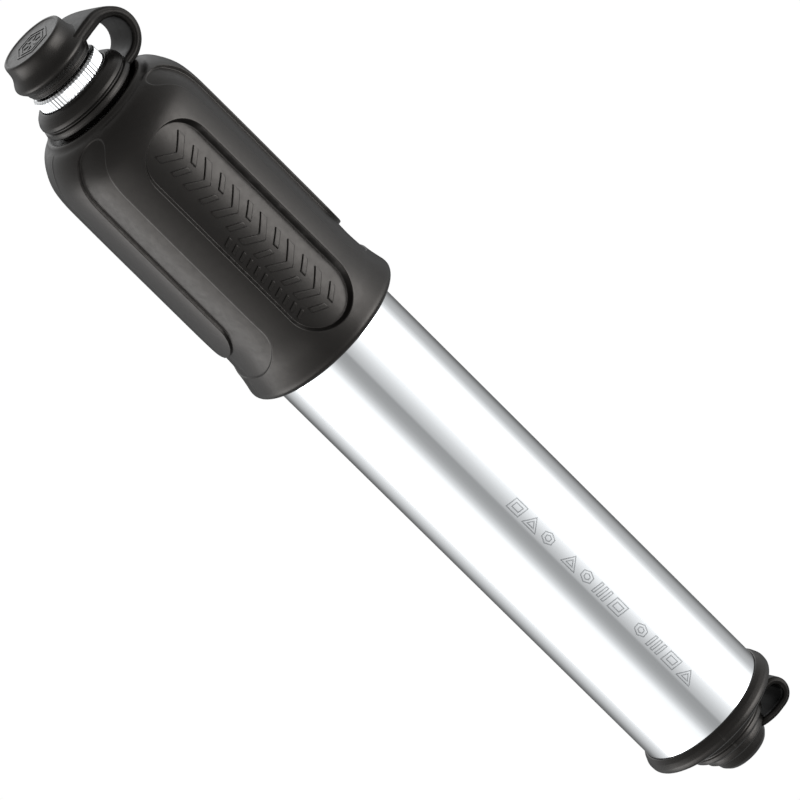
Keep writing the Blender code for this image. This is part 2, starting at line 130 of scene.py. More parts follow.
def dense(points, pitch, low, high):
    """Adds points along an outline where it runs between two heights."""
    out = [points[0]]
    for a, b in zip(points, points[1:]):
        length = math.hypot(b[0] - a[0], b[1] - a[1])
        steps = 1
        if low <= min(a[1], b[1]) and max(a[1], b[1]) <= high:
            steps = max(1, math.ceil(length / pitch))
        for k in range(1, steps + 1):
            out.append((a[0] + (b[0] - a[0]) * k / steps, a[1] + (b[1] - a[1]) * k / steps))
    return out


def spun(name, ring, closed, angles, shape=None, sharp=40.0):
    """Turns an outline about Z. shape(radius, z, angle) may move each point."""
    verts, rows = [], []
    count = len(angles)
    for radius, z in ring:
        if radius < 1e-6:
            rows.append([len(verts)] * count)
            verts.append((0.0, 0.0, z))
            continue
        rows.append(list(range(len(verts), len(verts) + count)))
        for angle in angles:
            reach, height = shape(radius, z, angle) if shape else (radius, z)
            verts.append((reach * math.cos(angle), reach * math.sin(angle), height))
    faces = []
    pairs = list(zip(rows, rows[1:])) + ([(rows[-1], rows[0])] if closed else [])
    for upper, lower in pairs:
        for j in range(count):
            k = (j + 1) % count
            face = list(dict.fromkeys((upper[j], upper[k], lower[k], lower[j])))
            if len(face) > 2:
                faces.append(face)
    return solid(name, verts, faces, sharp)


def lathe(
    name, outline, segments, shape=None, extra=(), sharp=40.0, pitch=None, low=-1e9, high=1e9
):
    """Fillets an outline and turns it. extra holds added angles; pitch adds points in a band."""
    closed = outline[0][0] > 1e-6 or outline[-1][0] > 1e-6
    ring = filleted(outline, closed)
    if pitch:
        ring = dense(ring + ([ring[0]] if closed else []), pitch, low, high)
        if closed:
            ring = ring[:-1]
    angles = sorted([2 * math.pi * k / segments for k in range(segments)] + list(extra))
    return spun(name, ring, closed, angles, shape, sharp)


def on_arc(x, z, radius, angles):
    return [(x + radius * math.cos(a), z + radius * math.sin(a)) for a in angles]


def torus(name, major, minor, z, sides, around):
    ring = on_arc(major, z, minor, [2 * math.pi * k / around for k in range(around)])
    return spun(name, ring, True, [2 * math.pi * k / sides for k in range(sides)])


def between(t, start, end, a, b):
    return (end - t) / (end - start) * a + (t - start) / (end - start) * b


def smooth_line(points, steps):
    """A centripetal Catmull-Rom line through the points."""
    knots = [np.array(q, float) for q in points]
    knots = [2 * knots[0] - knots[1]] + knots + [2 * knots[-1] - knots[-2]]
    out = []
    for i in range(1, len(knots) - 2):
        a, b, c, d = knots[i - 1 : i + 3]
        t0 = 0.0
        t1 = t0 + max(1e-6, np.linalg.norm(b - a)) ** 0.5
        t2 = t1 + max(1e-6, np.linalg.norm(c - b)) ** 0.5
        t3 = t2 + max(1e-6, np.linalg.norm(d - c)) ** 0.5
        for k in range(steps):
            t = t1 + (t2 - t1) * k / steps
            middle = between(t, t1, t2, b, c)
            near = between(t, t0, t2, between(t, t0, t1, a, b), middle)
            far = between(t, t1, t3, middle, between(t, t2, t3, c, d))
            out.append(between(t, t1, t2, near, far))
    out.append(knots[-2])
    return np.array(out)


def skin(rows, sides, first=0):
    """Quads joining rows of points, each row a ring."""
    faces = []
    for row in range(rows - 1):
        for j in range(sides):
            a = first + row * sides + j
            b = first + row * sides + (j + 1) % sides
            faces.append((a, b, b + sides, a + sides))
    return faces


def swept_faces(verts, rows, sides):
    """Faces of a swept bar. Adds a centre point to verts for each end."""
    faces = skin(rows, sides)
    for row in (0, rows - 1):
        centre = len(verts)
        verts.append(tuple(np.mean(verts[row * sides : (row + 1) * sides], axis=0)))
        for j in range(sides):
            a, b = row * sides + j, row * sides + (j + 1) % sides
            faces.append((a, b, centre) if row else (b, a, centre))
    return faces


def mitres(ahead, behind, least):
    """Leftward offset of each corner for a unit inset, from the edges on its two sides."""
    ahead = ahead / np.linalg.norm(ahead, axis=1)[:, None]
    behind = behind / np.linalg.norm(behind, axis=1)[:, None]
    left = np.stack([-ahead[:, 1], ahead[:, 0]], 1)
    middle = left + np.stack([-behind[:, 1], behind[:, 0]], 1)
    return middle / np.maximum(least, (middle * left).sum(1))[:, None]


def on_cylinder(radius, turn=0.0):
    """Gives place(across, z, height) on a cylinder, with across measured from the front."""

    def place(across, z, height):
        phi = across / radius + turn
        reach = radius + height
        return (reach * math.sin(phi), -reach * math.cos(phi), z)

    return place


# ================================================================== shader helpers
MIDDLE = (0.3, 0.7)  # the span that holds most of a noise field's values


class Graph:
    """Adds shader nodes to a tree. Inputs are given as {key: number, colour or socket}."""

    def __init__(self, tree):
        self.tree = tree

    def feed(self, node, inputs):
        for key, value in inputs.items():
            if isinstance(value, bpy.types.NodeSocket):
                self.tree.links.new(value, node.inputs[key])
            else:
                node.inputs[key].default_value = value

    def add(self, kind, inputs=None, **settings):
        node = self.tree.nodes.new("ShaderNode" + kind)
        for key, value in settings.items():
            setattr(node, key, value)
        self.feed(node, inputs or {})
        return node

    def calc(self, operation, *values):
        return self.add("Math", dict(enumerate(values)), operation=operation).outputs[0]

    def remap(self, value, of=MIDDLE, to=(0, 1), smooth=False):
        inputs = {
            "Value": value, "From Min": of[0], "From Max": of[1], "To Min": to[0], "To Max": to[1]
        }
        kind = "SMOOTHSTEP" if smooth else "LINEAR"
        return self.add("MapRange", inputs, interpolation_type=kind).outputs["Result"]

    def noise(self, coords, scale, detail=2.0, roughness=0.5, stretch=None):
        """Noise on coordinates in metres, so scale is per metre."""
        if stretch is not None:
            mapping = self.add("Mapping", {"Scale": stretch, "Vector": coords})
            coords = mapping.outputs["Vector"]
        inputs = {"Scale": scale, "Detail": detail, "Roughness": roughness, "Vector": coords}
        return self.add("TexNoise", inputs).outputs["Fac"]

    def mix(self, factor, first, second, **settings):
        inputs = {0: factor}
        for key, value in ((6, first), (7, second)):
            inputs[key] = (*value, 1.0) if isinstance(value, tuple) else value
        return self.add("Mix", inputs, data_type="RGBA", **settings).outputs[2]

    def mix_value(self, factor, first, second):
        return self.add("Mix", {0: factor, 2: first, 3: second}, data_type="FLOAT").outputs[0]

    def bump(self, height, strength, distance):
        inputs = {"Strength": strength, "Distance": distance, "Height": height}
        return self.add("Bump", inputs).outputs["Normal"]


def shade(colour, factor):
    return tuple(min(1.0, c * factor) for c in colour)


def new_material(name, colour, roughness, metallic=0.0):
    """Returns a material, its main shader, its graph and its object coordinates."""
    material = bpy.data.materials.new(name)
    material.use_nodes = True
    graph = Graph(material.node_tree)
    shader = material.node_tree.nodes["Principled BSDF"]
    base = {"Base Color": (*colour, 1.0), "Roughness": roughness, "Metallic": metallic}
    graph.feed(shader, base)
    material.diffuse_color = (*colour, 1.0)
    return material, shader, graph, graph.add("TexCoord").outputs["Object"]


# ================================================================== materials
def rubber(
    name, colour, roughness, grain=6500.0, depth=0.000016, worn=2.0,
    specular=0.5, ior=1.5, matte=0.0,
):
    """Moulded rubber: fine grain, faint mottling, rubbed edges lighter by the factor worn.
    The last argument takes shine away, as painted shade, where the mesh attribute of the same name
    is 1."""
    material, shader, graph, at = new_material(name, colour, roughness)
    cloud = graph.noise(at, scale=420.0, detail=4.0, roughness=0.6)
    fine = graph.noise(at, scale=grain, detail=2.0, roughness=0.55)
    coarse = graph.noise(at, scale=grain * 0.28, detail=3.0, roughness=0.6)
    haze = graph.noise(at, scale=900.0, detail=3.0, roughness=0.6)
    tone = graph.mix(graph.remap(cloud), shade(colour, 0.84), shade(colour, 1.16))
    pointiness = graph.add("NewGeometry").outputs["Pointiness"]
    edge = graph.remap(pointiness, of=(0.505, 0.56), to=(0.0, 1.0))
    patches = graph.remap(coarse, of=(0.35, 0.65), to=(0.4, 1.0))
    rubbed = graph.calc("MULTIPLY", edge, patches)
    rough = graph.remap(haze, to=(roughness - 0.04, roughness + 0.05))
    rub_polish = graph.calc("MULTIPLY", rubbed, 0.05)
    fine_height = graph.calc("MULTIPLY", fine, 0.6)
    coarse_height = graph.calc("MULTIPLY", coarse, 0.7)
    height = graph.calc("ADD", fine_height, coarse_height)
    graph.feed(shader, {
        "Base Color": graph.mix(rubbed, tone, shade(colour, worn)),
        "Roughness": graph.calc("SUBTRACT", rough, rub_polish),
        "IOR": ior,
        "Specular IOR Level": specular,
        "Specular Tint": (1.0, 0.93, 0.875, 1.0),
        "Normal": graph.bump(height, strength=0.55, distance=depth),
    })
    # painted shade: less shine where the attribute is 1
    if matte:
        face = graph.add("Attribute", attribute_name="matte").outputs["Fac"]
        level = graph.remap(face, of=(0, 1), to=(specular, specular * (1 - matte)))
        graph.feed(shader, {"Specular IOR Level": level})
    return material


def polished(name, colour, roughness):
    """Drawn, polished metal: very fine lines along the axis and a faint haze."""
    material, shader, graph, at = new_material(name, colour, roughness, metallic=1.0)
    lines = graph.noise(
        at, scale=1.0, detail=3.0, roughness=0.6, stretch=(5200.0, 5200.0, 45.0)
    )
    haze = graph.noise(at, scale=160.0, detail=4.0, roughness=0.6, stretch=(1.0, 1.0, 0.35))
    rough = graph.remap(haze, to=(roughness * 0.8, roughness * 1.3))
    line_rough = graph.remap(lines, of=(0.35, 0.75), to=(0.0, 0.03))
    graph.feed(shader, {
        "Roughness": graph.calc("ADD", rough, line_rough),
        "Base Color": graph.mix(graph.remap(lines), shade(colour, 0.985), shade(colour, 1.01)),
        "Normal": graph.bump(lines, strength=0.12, distance=0.0000012),
    })
    return material


def turned_metal(name, colour, roughness, lines=2600.0, depth=0.000006):
    """Lathe-turned metal: noise on (distance from the axis, z) gives fine tool rings."""
    material, shader, graph, at = new_material(name, colour, roughness, metallic=1.0)
    x, y, z = graph.add("SeparateXYZ", {0: at}).outputs
    square = graph.calc("ADD", graph.calc("MULTIPLY", x, x), graph.calc("MULTIPLY", y, y))
    turned_at = graph.add("CombineXYZ", {0: graph.calc("SQRT", square), 2: z}).outputs[0]
    rings = graph.noise(turned_at, scale=lines, detail=3.0, roughness=0.6)
    spots = graph.noise(at, scale=700.0, detail=4.0, roughness=0.6)
    graph.feed(shader, {
        "Base Color": graph.mix(graph.remap(rings), shade(colour, 0.93), colour),
        "Roughness": graph.remap(spots, to=(roughness * 0.85, roughness * 1.2)),
        "Normal": graph.bump(rings, strength=0.35, distance=depth),
    })
    return material


def plastic(name, colour, roughness):
    """Moulded plastic, lightly clouded."""
    material, shader, graph, at = new_material(name, colour, roughness)
    cloud = graph.noise(at, scale=600.0, detail=4.0, roughness=0.6)
    fine = graph.noise(at, scale=3800.0, detail=2.0, roughness=0.5)
    graph.feed(shader, {
        "Base Color": graph.mix(graph.remap(cloud), shade(colour, 0.9), shade(colour, 1.05)),
        "Roughness": graph.remap(fine, to=(roughness - 0.05, roughness + 0.06)),
        "Normal": graph.bump(fine, strength=0.3, distance=0.00001),
        "Specular IOR Level": 0.5,
    })
    return material


GRIP_RUBBER = rubber(
    "grip_rubber_moulded", (0.0062, 0.0057, 0.0053), roughness=0.33,
    grain=5200.0, depth=0.000022, worn=1.9,
)
SOFT_BLACK = (0.0062, 0.0058, 0.0054)
SOFT_RUBBER = rubber("soft_rubber_moulded", SOFT_BLACK, roughness=0.30, worn=2.2)
# strap rubber; the plug strap's inner flat loses most of its shine here, as painted shade
STRAP_RUBBER = rubber(
    "strap_rubber_moulded", SOFT_BLACK, roughness=0.36, specular=1.0, ior=1.2, matte=0.93
)
SEAL_RUBBER = rubber(
    "seal_rubber_black", (0.008, 0.008, 0.0082), roughness=0.38,
    grain=7000.0, depth=0.00001, worn=1.4,
)
HOSE_RUBBER = rubber(
    "hose_rubber_black", (0.010, 0.010, 0.010), roughness=0.5,
    grain=3000.0, depth=0.00004, worn=1.3,
)
TUBE_METAL = polished("tube_polished", (0.905, 0.918, 0.930), roughness=0.07)
ROD_METAL = polished("rod_polished", (0.80, 0.81, 0.83), roughness=0.13)
KNURL_METAL = turned_metal(
    "knurl_bright", (0.93, 0.935, 0.94), roughness=0.2, lines=3400.0, depth=0.000004
)
SATIN_METAL = turned_metal("satin_turned", (0.78, 0.79, 0.81), roughness=0.27)
DARK_METAL = turned_metal("dark_anodised", (0.10, 0.105, 0.11), roughness=0.33)
SLEEVE_METAL = turned_metal("sleeve_drawn", (0.30, 0.31, 0.32), roughness=0.3)
BRASS_METAL = turned_metal("brass_turned", (0.72, 0.52, 0.24), roughness=0.26)
STEEL_METAL = turned_metal("spring_wire", (0.62, 0.62, 0.64), roughness=0.24)
NYLON = plastic("nylon_natural", (0.78, 0.75, 0.66), roughness=0.42)
PTFE = plastic("ptfe_white", (0.86, 0.86, 0.83), roughness=0.38)
ACETAL = plastic("acetal_black", (0.022, 0.022, 0.024), roughness=0.33)
ETCH = turned_metal(
    "etched_mark", (0.45, 0.46, 0.47), roughness=0.45, lines=4200.0, depth=0.000003
)


def dress(obj, material, body, *nodes):
    """Gives an object its material, the body it moves with and the CAD nodes it replaces."""
    obj.data.materials.append(material)
    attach(obj, body)
    if nodes:
        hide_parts(*nodes)
    return obj


def turned(name, node, material, body, outline, segments, **shaping):
    """A dressed lathe piece."""
    return dress(lathe(name, outline, segments, **shaping), material, body, node)


# ================================================================== grip
# (radius, z) of the outside, from inside the bottom lip up over the dome to the neck
GRIP_LINE = smooth_line(
    [
        (12.45, 106.15), (12.62, 105.88), (13.1, 105.78), (14.1, 105.8), (14.78, 106.04),
        (15.2, 106.5), (15.25, 107.05), (15.1, 107.8), (14.84, 109.1), (14.6, 110.7),
        (14.56, 112.5), (14.62, 114.5), (14.72, 116.6), (14.78, 118.8), (14.8, 121.5),
        (14.8, 130.0), (14.8, 140.0), (14.76, 149.0), (14.72, 151.5), (14.58, 153.4),
        (14.32, 154.96), (13.89, 156.26), (13.28, 157.51), (12.57, 158.62), (11.75, 159.55),
        (10.9, 160.15), (10.4, 160.3), (10.15, 160.38), (10.02, 160.52), (9.97, 160.75),
        (9.88, 160.97), (9.68, 161.1), (9.42, 161.08), (9.18, 160.9), (9.02, 160.62),
        (8.8, 160.42), (8.3, 160.38), (7.25, 160.36),
    ],
    10,
)
# (radius, z) of the inside, from the neck down to the lip
GRIP_INSIDE = [
    (7.25, 159.5), (9.8, 158.7), (11.8, 156.3), (12.75, 154.4), (13.05, 153.2), (13.05, 130.0),
    (13.05, 108.2), (12.4, 107.6),
]
GRIP_RADIUS = 14.8
GRIP_COLUMNS = 34  # mesh columns in a quarter turn
QUARTER = math.pi / 2 * GRIP_RADIUS

# length along the line at each point, and the normals away from the rubber
ALONG = np.concatenate([[0], np.cumsum(np.hypot(*np.diff(GRIP_LINE, axis=0).T))])
tangent = np.gradient(GRIP_LINE, ALONG, axis=0)
tangent /= np.linalg.norm(tangent, axis=1)[:, None]
NORMAL = np.stack([tangent[:, 1], -tangent[:, 0]], 1)
RIM = int(np.argmax(GRIP_LINE[:, 0]))
TOP = int(np.argmax(GRIP_LINE[:, 1] > 160.28))
RIM_ALONG, TOP_ALONG = ALONG[RIM], ALONG[TOP]


def along_at(z):
    return np.interp(z, GRIP_LINE[RIM:TOP, 1], ALONG[RIM:TOP])


def radius_at(z):
    return np.interp(z, GRIP_LINE[RIM:TOP, 1], GRIP_LINE[RIM:TOP, 0])


def line_point(along):
    radius = np.interp(along, ALONG, GRIP_LINE[:, 0])
    return radius, np.interp(along, ALONG, GRIP_LINE[:, 1])


# Panel: a sunk stadium, seen from the front or back.
PANEL_HALF = 6.38
PANEL_LOW, PANEL_HIGH = 109.8, 154.4
PANEL_FLOOR = 13.42  # radius of the sunk face
ARC_LOW, ARC_HIGH = PANEL_LOW + PANEL_HALF, PANEL_HIGH - PANEL_HALF
PANEL_TURN = 0.9 * DEG  # both panels sit a little round from the middle
# distance inside the edge, and the share of full depth there
PANEL_WALL = (
    [-0.05, -0.01, 0.02, 0.05, 0.09, 0.27, 0.29, 0.32, 0.36],
    [0.0, 0.012, 0.045, 0.10, 0.19, 0.93, 0.965, 0.99, 1.0],
)
PANEL_RINGS = [-0.2, *PANEL_WALL[0], 0.5]

# Channel: seen from the side, between a crease outside and a rib in the middle.
# Its half widths are |y|, called across.
CHANNEL_LOW, CHANNEL_CORNER, CHANNEL_HALF = 110.87, 7.0, 10.8
CORNER_ACROSS, CORNER_Z = CHANNEL_HALF - CHANNEL_CORNER, CHANNEL_LOW + CHANNEL_CORNER
RIB_HALF, RIB_Z = 5.9, 121.9
FLARE_Z = 150.0  # the sides curve towards the tip above this
TIP_ACROSS, TIP_Z, TIP_RADIUS = 8.85, 157.75, 2.2
CHANNEL_WALL = (
    [-0.05, -0.02, 0.0, 0.02, 0.10, 0.12, 0.16, 0.22],
    [0.0, 0.02, 0.07, 0.15, 0.85, 0.93, 0.985, 1.0],
)
CHANNEL_RINGS = [-0.2, *CHANNEL_WALL[0], 0.4]


def panel_inside(x, z):
    """Distance inside the edge of the panel."""
    return PANEL_HALF - np.hypot(x, np.maximum(0, np.maximum(z - ARC_HIGH, ARC_LOW - z)))


def flared(z, start, end):
    share = np.clip((z - FLARE_Z) / (TIP_Z - FLARE_Z), 0, 1)
    return start + (end - start) * share * share


def crease_half(z):
    return flared(z, CHANNEL_HALF, TIP_ACROSS + TIP_RADIUS)


def rib_half(z):
    return flared(z, RIB_HALF, TIP_ACROSS - TIP_RADIUS)


def channel_parts(across, z):
    """Distances inside the crease, outside the rib, and inside the whole channel."""
    across, z = np.asarray(across, float), np.asarray(z, float)
    corner = CHANNEL_CORNER - np.hypot(across - CORNER_ACROSS, z - CORNER_Z)
    low = np.where(across > CORNER_ACROSS, corner, z - CHANNEL_LOW)
    crease = np.where(z < CORNER_Z, low, crease_half(z) - across)
    rib = np.where(z < RIB_Z, np.hypot(across, z - RIB_Z) - RIB_HALF, across - rib_half(z))
    tip = TIP_RADIUS - np.hypot(across - TIP_ACROSS, z - TIP_Z)
    return crease, rib, np.where(z > TIP_Z, tip, np.minimum(crease, rib))


def channel_depth(across, z):
    """The floor drops away from a step at the crease; it fades out at the tip."""
    crease, rib, inside = channel_parts(across, z)
    crease, rib = np.clip(crease, 0, None), np.clip(rib, 0, None)
    share = crease / np.maximum(1e-6, crease + rib)
    fade = np.clip((TIP_Z + TIP_RADIUS - z) / 5.0, 0, 1) ** 0.5
    upper_step = 0.15 * np.clip((z - 154.0) / 4.0, 0, 1)
    lower_step = 0.16 * np.clip((116.5 - z) / 5.0, 0, 1)
    slope = np.interp(share, [0.0, 0.35, 0.65, 0.85, 1.0], [0.0, 0.42, 0.82, 1.0, 0.96])
    floor = 0.07 + upper_step + lower_step + 0.54 * slope * fade
    return floor * np.interp(inside, *CHANNEL_WALL)


def grip_point(phi, along):
    """(radius, z) of the moulded surface, for phi in a quarter turn and a length along the line."""
    radius, z = line_point(along)
    outside = (along > RIM_ALONG) & (along < TOP_ALONG)
    x, across = radius * np.sin(phi), radius * np.cos(phi)
    wall = np.where(outside, np.interp(panel_inside(x, z), *PANEL_WALL), 0.0)
    depth = np.where(outside, channel_depth(across, z), 0.0)
    # mould parting line down the side
    off = (math.pi / 2 - phi) * radius
    depth = depth - np.where(outside, 0.05 * np.exp(-((off / 0.09) ** 2)), 0.0)
    sunk = radius - np.interp(along, ALONG, NORMAL[:, 0]) * depth
    z = z - np.interp(along, ALONG, NORMAL[:, 1]) * depth
    return sunk + (np.minimum(PANEL_FLOOR, sunk) - sunk) * wall, z


def panel_contour(offset):
    """(phi, along) points at a distance inside the panel edge, in one quarter."""
    radius = PANEL_HALF - offset
    points = on_arc(0, ARC_HIGH, radius, [math.pi / 2 * (1 - k / 30) for k in range(31)])
    points += [(radius, ARC_HIGH + (ARC_LOW - ARC_HIGH) * k / 42) for k in range(1, 42)]
    points += on_arc(0, ARC_LOW, radius, [-math.pi / 2 * k / 30 for k in range(31)])
    return [
        (math.asin(min(1, max(0, x / radius_at(z)))), float(along_at(z))) for x, z in points
    ]


def channel_contour(offset):
    """(phi, along) points at a distance inside the channel edge, in one quarter."""
    radius = CHANNEL_CORNER - offset
    points = [(CORNER_ACROSS * k / 9, CHANNEL_LOW + offset) for k in range(9)]
    turn = [-math.pi / 2 * (1 - k / 26) for k in range(26)]
    points += on_arc(CORNER_ACROSS, CORNER_Z, radius, turn)
    for k in range(56):
        z = CORNER_Z + (TIP_Z - CORNER_Z) * k / 56
        points.append((float(crease_half(z)) - offset, z))
    turn = [math.pi * k / 20 for k in range(21)]
    points += on_arc(TIP_ACROSS, TIP_Z, TIP_RADIUS - offset, turn)
    for k in range(1, 48):
        z = TIP_Z + (RIB_Z - TIP_Z) * k / 48
        points.append((float(rib_half(z)) + offset, z))
    points += on_arc(0, RIB_Z, RIB_HALF + offset, [-math.pi / 2 * k / 28 for k in range(29)])
    return [
        (math.acos(min(1, max(0, across / radius_at(z)))), float(along_at(z)))
        for across, z in points
    ]


def grip_rows():
    """Lengths along the line of the mesh rows, closer together over the lip and the dome."""
    rows, along = [0.0], 0.0
    while along < ALONG[-1] - 0.25:
        z = float(line_point(along)[1])
        along += 0.3 if along < 4.5 else 0.55 if (z < 112 or z > 150) else 0.95
        rows.append(min(along, ALONG[-1]))
    rows[-1] = ALONG[-1]
    return rows


def lattice_points(ring_ends):
    """Staggered points that keep clear of the contours and their ends."""
    points = []
    rows = grip_rows()
    for row, along in enumerate(rows):
        edge_row = row in (0, len(rows) - 1)
        for column in range(GRIP_COLUMNS + 1):
            around = QUARTER * column / GRIP_COLUMNS
            if not edge_row and row % 2 and 0 < column < GRIP_COLUMNS:
                around += 0.5 * QUARTER / GRIP_COLUMNS
                if column == GRIP_COLUMNS - 1:
                    continue
            phi = around / GRIP_RADIUS
            if not edge_row and RIM_ALONG < along < TOP_ALONG:
                radius, z = (float(value) for value in line_point(along))
                if -0.44 < float(panel_inside(radius * math.sin(phi), z)) < 0.8:
                    continue
                if -0.42 < float(channel_parts(radius * math.cos(phi), z)[2]) < 0.7:
                    continue
                on_side = column in (0, GRIP_COLUMNS)
                if on_side and any(abs(along - end) < 0.08 for end in ring_ends):
                    continue
            points.append((around, along))
    return points


def parting_points(ring_ends):
    """Points on the parting line and on the lines beside it."""
    points = []
    for off in (0.0, 0.05, 0.11, 0.2):
        for along in np.arange(RIM_ALONG + 0.2, TOP_ALONG - 0.2, 0.35):
            if off == 0.0 and any(abs(along - end) < 0.06 for end in ring_ends):
                continue
            radius, z = (float(value) for value in line_point(along))
            phi = math.pi / 2 - off / radius
            if -0.3 < float(channel_parts(radius * math.cos(phi), z)[2]) < 0.55:
                continue
            points.append((phi * GRIP_RADIUS, float(along)))
    return points


def grip_quarter():
    """Points and triangles of the outside, from the front (-Y) to the +X side."""
    points, edges = [], []
    contours = [panel_contour(off) for off in PANEL_RINGS]
    contours += [channel_contour(off) for off in CHANNEL_RINGS]
    for contour in contours:
        start = len(points)
        points.extend((phi * GRIP_RADIUS, along) for phi, along in contour)
        edges.extend((start + k, start + k + 1) for k in range(len(contour) - 1))
    ring_ends = {
        round(along, 4)
        for around, along in points
        if abs(around) < 1e-6 or abs(around - QUARTER) < 1e-6
    }
    points += lattice_points(ring_ends)
    points += parting_points(ring_ends)

    def snapped(around):
        return 0.0 if around < 1e-5 else QUARTER if around > QUARTER - 1e-5 else float(around)

    flat = [Vector((snapped(around), float(along))) for around, along in points]
    coords, _, triangles, *_ = delaunay_2d_cdt(flat, edges, [], 0, 1e-5, False)
    around, along = np.array([(c[0], c[1]) for c in coords]).T
    side = np.where(around < 1e-4, 1, np.where(around > QUARTER - 1e-4, 2, 0))
    # slivers with all three corners on one side of the quarter are dropped
    triangles = [
        t for t in triangles if side[t[0]] == 0 or not side[t[0]] == side[t[1]] == side[t[2]]
    ]
    phi = around / GRIP_RADIUS
    radius, z = grip_point(phi, along)
    quarter = np.stack([radius * np.sin(phi), -radius * np.cos(phi), z], 1)
    quarter[side == 1, 0] = 0.0
    quarter[side == 2, 1] = 0.0
    return quarter, triangles


def turn_panels(verts):
    """Turns the front and back about Z, fading out towards the sides and the ends."""
    away = np.degrees(np.arctan2(np.abs(verts[:, 0]), np.abs(verts[:, 1])))
    share = np.clip((away - 31.0) / 14.0, 0, 1)
    turn = PANEL_TURN * (1 - share * share * (3 - 2 * share))
    turn = turn * np.interp(verts[:, 2], [107.5, 109.0, 155.0, 158.0], [0, 1, 1, 0])
    cos, sin = np.cos(turn), np.sin(turn)
    x, y = verts[:, 0] * cos - verts[:, 1] * sin, verts[:, 0] * sin + verts[:, 1] * cos
    verts[:, 0], verts[:, 1] = x, y


def make_grip():
    quarter, triangles = grip_quarter()
    parts, faces = [], []
    for k, (x_sign, y_sign) in enumerate(((1, 1), (-1, 1), (1, -1), (-1, -1))):
        parts.append(quarter * (x_sign, y_sign, 1))
        flip = x_sign * y_sign < 0
        for triangle in triangles:
            a, b, c = (k * len(quarter) + i for i in triangle)
            faces.append((a, c, b) if flip else (a, b, c))
    verts = np.concatenate(parts)
    turn_panels(verts)
    inner = [tuple(GRIP_LINE[-1])] + GRIP_INSIDE + [tuple(GRIP_LINE[0])]
    sides = GRIP_COLUMNS * 4
    faces += skin(len(inner), sides, len(verts))
    inner_verts = []
    for radius, z in inner:
        for k in range(sides):
            phi = 2 * math.pi * k / sides
            inner_verts.append((radius * math.sin(phi), -radius * math.cos(phi), z))
    verts = np.concatenate([verts, np.array(inner_verts)])
    return solid("grip_moulding", verts, faces, sharp=75.0)


dress(make_grip(), GRIP_RUBBER, "handle", "grip")


# ================================================================== treads on the panels
TREAD_FOOT, TREAD_TOP, TREAD_BEVEL = -0.25, 0.24, 0.1  # heights from the panel face
TREAD_MESH = 0.5  # spacing of mesh points


def within(outline, x, y):
    """Whether a point lies inside a polygon."""
    a = np.asarray(outline, float)
    b = np.roll(a, -1, 0)
    rise = np.where(a[:, 1] == b[:, 1], 1e-12, b[:, 1] - a[:, 1])
    crossing = x < (b[:, 0] - a[:, 0]) * (y - a[:, 1]) / rise + a[:, 0]
    return bool((((a[:, 1] > y) != (b[:, 1] > y)) & crossing).sum() % 2)


def tread_border(polygon):
    """A polygon with points added along its longer edges, clear of the bevelled corners."""
    points = []
    for i in range(len(polygon)):
        a, b = np.array(polygon[i]), np.array(polygon[(i + 1) % len(polygon)])
        length = np.linalg.norm(b - a)
        steps = [0.0]
        if length > 1.5:
            count = max(1, round((length - 1.2) / TREAD_MESH))
            steps += [0.6 + (length - 1.2) * k / count for k in range(count + 1)]
        elif length > 1.25:
            steps += [length / 2]
        points += [a + (b - a) * step / length for step in steps]
    return np.array(points)


def face_grid(border, inner):
    """Grid points inside the top face."""
    low, high = border.min(0), border.max(0)
    edge = np.roll(inner, -1, 0) - inner
    grid = []
    for x in np.arange(low[0] + TREAD_MESH / 2, high[0], TREAD_MESH):
        for y in np.arange(low[1] + TREAD_MESH / 2, high[1], TREAD_MESH):
            off = np.array((x, y)) - inner
            share = (off * edge).sum(1) / np.maximum(1e-9, (edge * edge).sum(1))
            share = np.clip(share, 0, 1)[:, None]
            distance = np.linalg.norm(off - edge * share, axis=1).min()
            if within(inner, x, y) and distance > TREAD_MESH * 0.35:
                grid.append((x, y))
    return grid


def add_cap(verts, faces, place, border, grid, height, flip):
    """Adds a triangulated face inside a border and returns the indices of the border."""
    count = len(border)
    coords = [Vector((float(x), float(y))) for x, y in list(border) + grid]
    loop = [(i, (i + 1) % count) for i in range(count)]
    points, _, triangles, origins, *_ = delaunay_2d_cdt(coords, loop, [], 1, 1e-6, True)
    base = len(verts)
    verts.extend(place(c[0], c[1], height) for c in points)
    where = {old: new for new, olds in enumerate(origins) for old in olds}
    rim = {frozenset((where[a], where[b])) for a, b in loop}
    sides = {}
    for k, triangle in enumerate(triangles):
        for i in range(3):
            sides.setdefault(frozenset((triangle[i], triangle[i - 1])), []).append(k)
    # triangles that can be reached from outside without crossing the border are dropped
    todo = [owners[0] for edge, owners in sides.items() if len(owners) == 1 and edge not in rim]
    outside = set()
    while todo:
        k = todo.pop()
        if k in outside:
            continue
        outside.add(k)
        for i in range(3):
            edge = frozenset((triangles[k][i], triangles[k][i - 1]))
            if edge not in rim:
                todo.extend(j for j in sides[edge] if j not in outside)
    for k, triangle in enumerate(triangles):
        if k not in outside:
            face = [base + i for i in triangle]
            faces.append(face[::-1] if flip else face)
    return [base + where[i] for i in range(count)]


